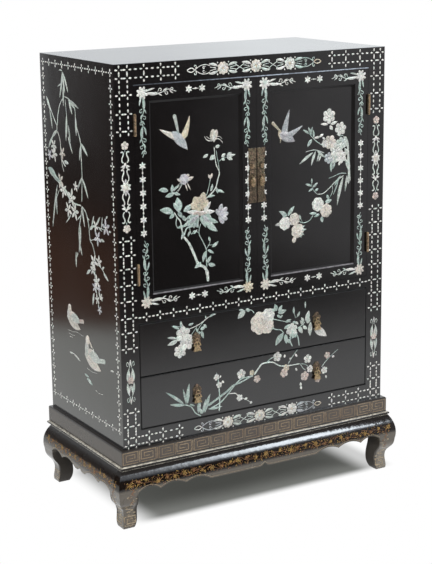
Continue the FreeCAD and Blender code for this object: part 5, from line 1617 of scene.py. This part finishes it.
def leg_vine(context, leg, way, number):
    """A thin vine with leaves down one outer face of a leg, and a painted highlight, a pale gilt line, up
    the face's inner edge.
    """
    ground = FootGround(leg, way)
    vine = gilt_inlay(context, ground, 51)
    high = np.linspace(116.0, 74.0, 7)
    across = ground.outer + ground.inward * VINE_INSET + 5.0 * np.sin(np.arange(7) * 1.5)
    vine.stem(np.stack([across, high], -1), 1.2, 0.9, "red")
    # painted highlight: a pale line in the edge gilt up the inner edge of the leg's face
    tall = np.linspace(5.0, 96.0, 24)
    edge = -ground.inward * (np.interp(tall, ground.levels, ground.inner) + 1.6)
    vine.stem(np.stack([edge, tall], -1), 2.2, 2.2, "edge")
    side = np.where(np.arange(7) % 2 == 0, 1.0, -1.0)
    vine.bent(across, high, 12.0, 3.0, -90.0 + 50.0 * side, 30.0 * side, tint=vine.colors["red"], cut=0.6)
    vine.bent(across, high - 4.0, 8.0, 2.4, 90.0 + 70.0 * side, 20.0, tint=vine.colors["line"], cut=0.6)
    vine.finish(f"{leg}_sprig_{number}")


def edge_height(across, arches, reach):
    """Lower edge of an apron, from the distance to its middle: the highest of its floor, arches and peak."""
    low = APRON_LOW / MM
    edge = np.full(across.shape, low)
    place = reach
    for chord, rise in arches:
        radius = (chord * chord / 4.0 + rise * rise) / (2.0 * rise)
        off_middle = np.abs(across) - (place - 0.5 * chord)
        arc = low + CUSP + rise - radius + np.sqrt(np.clip(radius**2 - off_middle**2, 0.0, None))
        edge = np.where(np.abs(off_middle) < 0.56 * chord, np.maximum(edge, arc), edge)
        place -= chord
    radius = (PEAK_HALF**2 + PEAK**2) / (2.0 * PEAK)
    inside = np.clip(PEAK_HALF - np.abs(across), 0.0, PEAK_HALF)
    return np.maximum(edge, low + radius - np.sqrt(radius**2 - inside**2))


class CABINET_OT_gilt_band(bpy.types.Operator):
    """Paints the gilt flowers and leaves on the swelling face of the stand, and its gilt edge line"""

    bl_idname = "cabinet.gilt_band"
    bl_label = "Gilt Band"

    def execute(self, context):
        half_wide, half_deep = SIDE / MM, -FRONT / MM
        for name, out, along, face, arches in (
            ("front", FORWARD, half_wide, half_deep, LONG_ARCHES),
            ("left", LEFT, half_deep, half_wide, LONG_ARCHES[:2]),
            ("right", RIGHT, half_deep, half_wide, LONG_ARCHES[:2]),
        ):
            ground = RoundedGround(out, face + SWELL_OUT, SWELL_RADIUS, SWELL_AXIS)
            band = gilt_inlay(context, ground, 41)
            gilt_flowers(band, along + 14.0)
            reach = along - 24.0
            across = np.linspace(-reach, reach, 260)
            line = np.stack([across, edge_height(across, arches, reach) + 4.0], -1)
            band.lay(with_blunt_ends(line[None], 0.2), 0.9, scaled(band.colors["edge"], 0.55))
            band.finish(f"gilt_band_{name}")
        return {"FINISHED"}


def gilt_flowers(band, reach):
    """Open flowers at uneven steps among dense thin leaves, buds and tendrils, high and low in turn."""
    count = 2 * int(reach / 28.0) + 1
    places = np.linspace(-reach + 10.0, reach - 10.0, count) + band.random.uniform(-5.0, 5.0, count)
    swings = band.random.uniform(-5.0, 5.0, count)
    for number, (x, swing) in enumerate(zip(places, swings)):
        y = BAND_MIDDLE + swing
        kind = number % 3
        flower = (8.5 - 1.5 * kind, 6 + number % 2, 17.0 * number, 2.2, ("yellow", "red", "yellow")[kind])
        band.ring_of_petals(x, y, *flower, shape=leaf_shape)
        band.dot(x, y, 2.4, "yellow", lift=0.2)
    leaves = 25 * count
    x = band.random.uniform(-reach, reach, leaves)
    y = BAND_MIDDLE + band.random.uniform(-11.5, 8.5, leaves)
    turn = band.random.uniform(0.0, 360.0, leaves)
    for part, tint in ((slice(0, leaves // 2), "red"), (slice(leaves // 2, leaves), "yellow")):
        look = {"tint": band.colors[tint], "cut": 0.6, "spread": 0.25}
        long = band.random.uniform(3.5, 7.5, len(x[part]))
        band.bent(x[part], y[part], long, 0.24 * long, turn[part], 50.0, **look)
    wave = np.linspace(-reach, reach, 4 * count)
    swing = BAND_MIDDLE + 6.0 * np.sin(wave / 17.0) + 3.0 * np.sin(wave / 7.3)
    band.stem(np.stack([wave, swing], -1), 1.2, 1.2, "red")


# ---------------------------------------------------------------- stage


# what polished faces see: the room on the floor and the low cards, the pale rear card, the bright high one
ROOM_LEFT, ROOM_WARM, ROOM_DARK, ROOM_LIGHT = "3a312d", "684a3c", "2a2625", "b4b4b6"
NEAR_LEFT, NEAR_RIGHT = (0.66, 0.67, 0.64), (0.93, 0.94, 0.95)
# the painted shadow that reflections see on the floor under the cabinet
UNDERNEATH_SHADOW = (0.06, 0.06, 0.055)
REAR_LEFT, REAR_RIGHT = (0.70, 0.72, 0.74), (0.82, 0.85, 0.87)
SKY_LOW, SKY_DIM, SKY_BLUE = (0.03, 0.036, 0.042), (0.06, 0.066, 0.072), (0.86, 0.93, 1.0)
SKY_SOFT, SKY_SEEN, WHITE = (0.42, 0.43, 0.44), (0.30, 0.31, 0.32), (1.0, 1.0, 1.0)

# each lamp's name, place, target and size in metres
LAMPS = (
    ("key_lamp", (-1.9, -3.6, 3.4), (0.0, 0.0, 0.6), (2.6, 2.0)),
    ("left_lamp", (-4.2, -0.3, 2.4), (0.0, 0.0, 0.6), (2.4, 1.8)),
    ("top_lamp", (0.4, -0.4, 4.2), (0.0, 0.0, 0.6), (3.2, 3.2)),
    ("rear_lamp", (1.9, 3.4, 1.9), (0.0, 0.0, 1.1), (3.4, 1.6)),
    ("right_lamp", (3.4, -3.2, 2.7), (0.0, 0.0, 0.4), (2.2, 1.2)),
)

# the edges of the floor and of the cards that stand round it
FLOOR_LEFT, FLOOR_RIGHT, FLOOR_NEAR, FLOOR_FAR, CARD_HIGH = -3.6, 8.0, -3.0, 14.0, 1.4


class CABINET_OT_stage(bpy.types.Operator):
    """Stands the cabinet on a pale floor, lights it and sets the camera"""

    bl_idname = "cabinet.stage"
    bl_label = "Stage"

    def execute(self, context):
        stage = context.scene.cabinet_stage
        make_floor()
        make_cards()
        make_world()
        for name, place, target, size in LAMPS:
            lamp(name, place, target, size, getattr(stage, name))
        aim_camera(context.scene, stage)
        context.scene.view_settings.view_transform = "Standard"
        return {"FINISHED"}


def lamp(name, place, target, size, power):
    """A rectangular lamp that looks at a target."""
    light = bpy.data.lights.new(name, "AREA")
    light.shape = "RECTANGLE"
    light.size, light.size_y = size
    light.energy = power
    stand = bpy.data.objects.new(name, light)
    stand.location = place
    stand.rotation_euler = (Vector(target) - Vector(place)).to_track_quat("-Z", "Y").to_euler()
    stand.visible_glossy = False
    bpy.context.scene.collection.objects.link(stand)


def sheet_mesh(name, corners, material):
    """One flat four-cornered sheet."""
    mesh = bpy.data.meshes.new(name)
    mesh.from_pydata(corners, [], [(0, 1, 2, 3)])
    mesh.materials.append(material)
    card = bpy.data.objects.new(name, mesh)
    bpy.context.scene.collection.objects.link(card)
    return card


def upright(first, second, low, high):
    """Corners of an upright sheet between two places on the floor."""
    return [(*first, low), (*second, low), (*second, high), (*first, high)]


def room_tone(sketch, x, lit):
    """What polished faces see of the floor and the cards: white near the cabinet, then a dark warm room."""
    room = ((x, -2.6, -1.6, ROOM_WARM), (x, -0.4, 0.9, ROOM_DARK), (x, 1.3, 2.3, ROOM_LIGHT))
    room = sketch.layers(ROOM_LEFT, *room)
    return sketch.blend(lit, room, sketch.layers(NEAR_LEFT, (x, -0.95, -0.3, NEAR_RIGHT)))


def make_floor():
    """Pale floor. To the camera it is white away from the cabinet, and under it a painted shadow: a darker
    floor with a faint glow of its own, inside a mask round the footprint.
    """
    sketch = material_sketch("pale_floor")
    rays = ("Is Camera Ray", "Is Glossy Ray", "Is Transmission Ray")
    camera, glossy, through = (sketch.add("ShaderNodeLightPath", output=ray) for ray in rays)
    x, y, _ = sketch.axes(sketch.place())
    # painted shadow: a mask round the cabinet's footprint, where the camera sees a darker floor and
    # reflections a dark tone
    under = sketch.span(x, -SIDE + 0.02, -SIDE + 0.125) * sketch.span(x, SIDE - 0.08, SIDE, 1.0, 0.45)
    under = under * sketch.fade(x, SIDE + 0.01, SIDE + 0.06)
    under = under * sketch.slab(y, FRONT - 0.02, FRONT + 0.026, -FRONT, -FRONT + 0.09)
    # painted light in reflections: the floor glows white where it is lit near the cabinet, and in the room's
    # tones beyond
    slanting = sketch.span(x - 0.88 * y.math("MAXIMUM", 1.1), -2.87, -2.40)
    lit = sketch.span(y, -2.15, -0.95) * slanting.math("MAXIMUM", sketch.span(x, -1.06, -0.95))
    mirrored = sketch.blend(under, room_tone(sketch, x, lit), UNDERNEATH_SHADOW)
    pale = sketch.add("ShaderNodeBsdfDiffuse", {"Color": solid((0.6, 0.6, 0.6))})
    dim = sketch.add("ShaderNodeBsdfDiffuse", {"Color": solid((0.2, 0.205, 0.195))})
    # a faint glow of the floor's own that lifts the painted shadow
    shaded = sketch.add("ShaderNodeAddShader", {0: dim, 1: sketch.glow("41423f")})
    ground = sketch.add("ShaderNodeMixShader", {0: camera, 1: pale, 2: shaded})
    far = 1.0 - under
    reach = (camera * far + through * far + glossy).math("MINIMUM", 1.0)
    bright = sketch.glow(sketch.blend(glossy, WHITE, mirrored))
    material = sketch.shown(sketch.add("ShaderNodeMixShader", {0: reach, 1: ground, 2: bright}))
    near_left, near_right = (FLOOR_LEFT, FLOOR_NEAR, 0.0), (FLOOR_RIGHT, FLOOR_NEAR, 0.0)
    far_right, far_left = (FLOOR_RIGHT, FLOOR_FAR, 0.0), (FLOOR_LEFT, FLOOR_FAR, 0.0)
    sheet_mesh("floor", [near_left, near_right, far_right, far_left], material)


def card_material(name, tone_of, strength=1.0):
    """A card's own light, its tone a function of the distance across and the height."""
    sketch = material_sketch(name)
    x, _, z = sketch.axes(sketch.place())
    return sketch.shown(sketch.glow(tone_of(sketch, x, z), strength))


def dark_tone(sketch, x, z):
    return room_tone(sketch, x, 0.0)


def pale_tone(sketch, x, z):
    return sketch.layers(REAR_LEFT, (x, 3.0, 4.0, REAR_RIGHT))


def sky_tone(sketch, x, z):
    """Bright blue-white that fades to the left and towards the lower edge of its card."""
    bright = sketch.layers(SKY_DIM, (x, 1.4, 2.6, SKY_BLUE))
    return sketch.layers(sketch.blend(0.9, bright, SKY_LOW), (z, 1.85, 2.05, bright))


def make_cards():
    """Cards that only reflections see: dark in front and at the left, pale behind, and bright high up."""
    dark = card_material("dark_card", dark_tone)
    pale = card_material("pale_card", pale_tone)
    blue = card_material("sky_card", sky_tone, 24.0)
    corner = (FLOOR_LEFT, FLOOR_NEAR)
    for name, corners, material in (
        ("front_card", upright(corner, (FLOOR_RIGHT, FLOOR_NEAR), 0.0, CARD_HIGH), dark),
        ("left_card", upright(corner, (FLOOR_LEFT, FLOOR_FAR), 0.0, CARD_HIGH), dark),
        ("rear_card", upright((-3.0, 6.0), (12.0, 6.0), 0.0, 4.0), pale),
        ("high_card", upright((1.0, -3.4), (2.95, -3.4), 1.5, 3.1), blue),
    ):
        card = sheet_mesh(name, corners, material)
        card.visible_camera = False
        card.visible_diffuse = False
        card.visible_shadow = False
        card.visible_transmission = False


def make_world():
    """White for the camera, and plain greys for reflections and for soft light."""
    world = bpy.data.worlds.new("soft_sky")
    bpy.context.scene.world = world
    sketch = Sketch(world)
    tone = SKY_SOFT
    for ray, seen in (("Is Glossy Ray", SKY_SEEN), ("Is Transmission Ray", WHITE), ("Is Camera Ray", WHITE)):
        tone = sketch.blend(sketch.add("ShaderNodeLightPath", output=ray), tone, seen)
    sky = sketch.add("ShaderNodeBackground", {"Color": tone})
    sketch.add("ShaderNodeOutputWorld", {"Surface": sky})


def aim_camera(scene, stage):
    """The camera's axes: ahead from turn and tilt, then right and up leant by the roll."""
    turn, tilt, roll = stage.turn, stage.tilt, stage.roll
    ahead = Vector((math.sin(turn) * math.cos(tilt), math.cos(turn) * math.cos(tilt), -math.sin(tilt)))
    right = ahead.cross(Vector(UP)).normalized()
    up = right.cross(ahead)
    leant_right = math.cos(roll) * right + math.sin(roll) * up
    leant_up = math.cos(roll) * up - math.sin(roll) * right
    data = bpy.data.cameras.new("eye")
    data.sensor_width = 36.0
    data.sensor_fit = "AUTO"
    data.lens = 94.71
    data.shift_x = 0.0326
    data.shift_y = -0.0358
    eye = bpy.data.objects.new("eye", data)
    turned = Matrix((leant_right, leant_up, -ahead)).transposed().to_4x4()
    eye.matrix_world = Matrix.Translation(Vector(stage.eye)) @ turned
    scene.collection.objects.link(eye)
    scene.camera = eye


class CABINET_PT_panel(bpy.types.Panel):
    """Shows the sizes, colours and stage settings, and a button for each step"""

    bl_idname = "CABINET_PT_panel"
    bl_label = "Lacquer Cabinet"
    bl_space_type = "VIEW_3D"
    bl_region_type = "UI"
    bl_category = "Cabinet"

    def draw(self, context):
        scene = context.scene
        for group in (scene.cabinet_sizes, scene.cabinet_colors, scene.cabinet_stage):
            box = self.layout.box()
            for name in group.__annotations__:
                box.prop(group, name)
        for operator in OPERATORS:
            self.layout.operator(operator.bl_idname)


GROUPS = (CabinetSizes, CabinetColors, StageSettings)
OPERATORS = (
    CABINET_OT_finishes,
    CABINET_OT_face_border,
    CABINET_OT_left_door,
    CABINET_OT_right_door,
    CABINET_OT_drawers,
    CABINET_OT_sides,
    CABINET_OT_fret,
    CABINET_OT_gilt_band,
    CABINET_OT_stage,
)


def register():
    for entry in (*GROUPS, *OPERATORS, CABINET_PT_panel):
        bpy.utils.register_class(entry)
    bpy.types.Scene.cabinet_sizes = PointerProperty(type=CabinetSizes)
    bpy.types.Scene.cabinet_colors = PointerProperty(type=CabinetColors)
    bpy.types.Scene.cabinet_stage = PointerProperty(type=StageSettings)


def unregister():
    del bpy.types.Scene.cabinet_stage
    del bpy.types.Scene.cabinet_colors
    del bpy.types.Scene.cabinet_sizes
    for entry in reversed((*GROUPS, *OPERATORS, CABINET_PT_panel)):
        bpy.utils.unregister_class(entry)


def main():
    register()
    for operator in OPERATORS:
        group, name = operator.bl_idname.split(".")
        getattr(getattr(bpy.ops, group), name)()


if __name__ == "__main__":
    main()
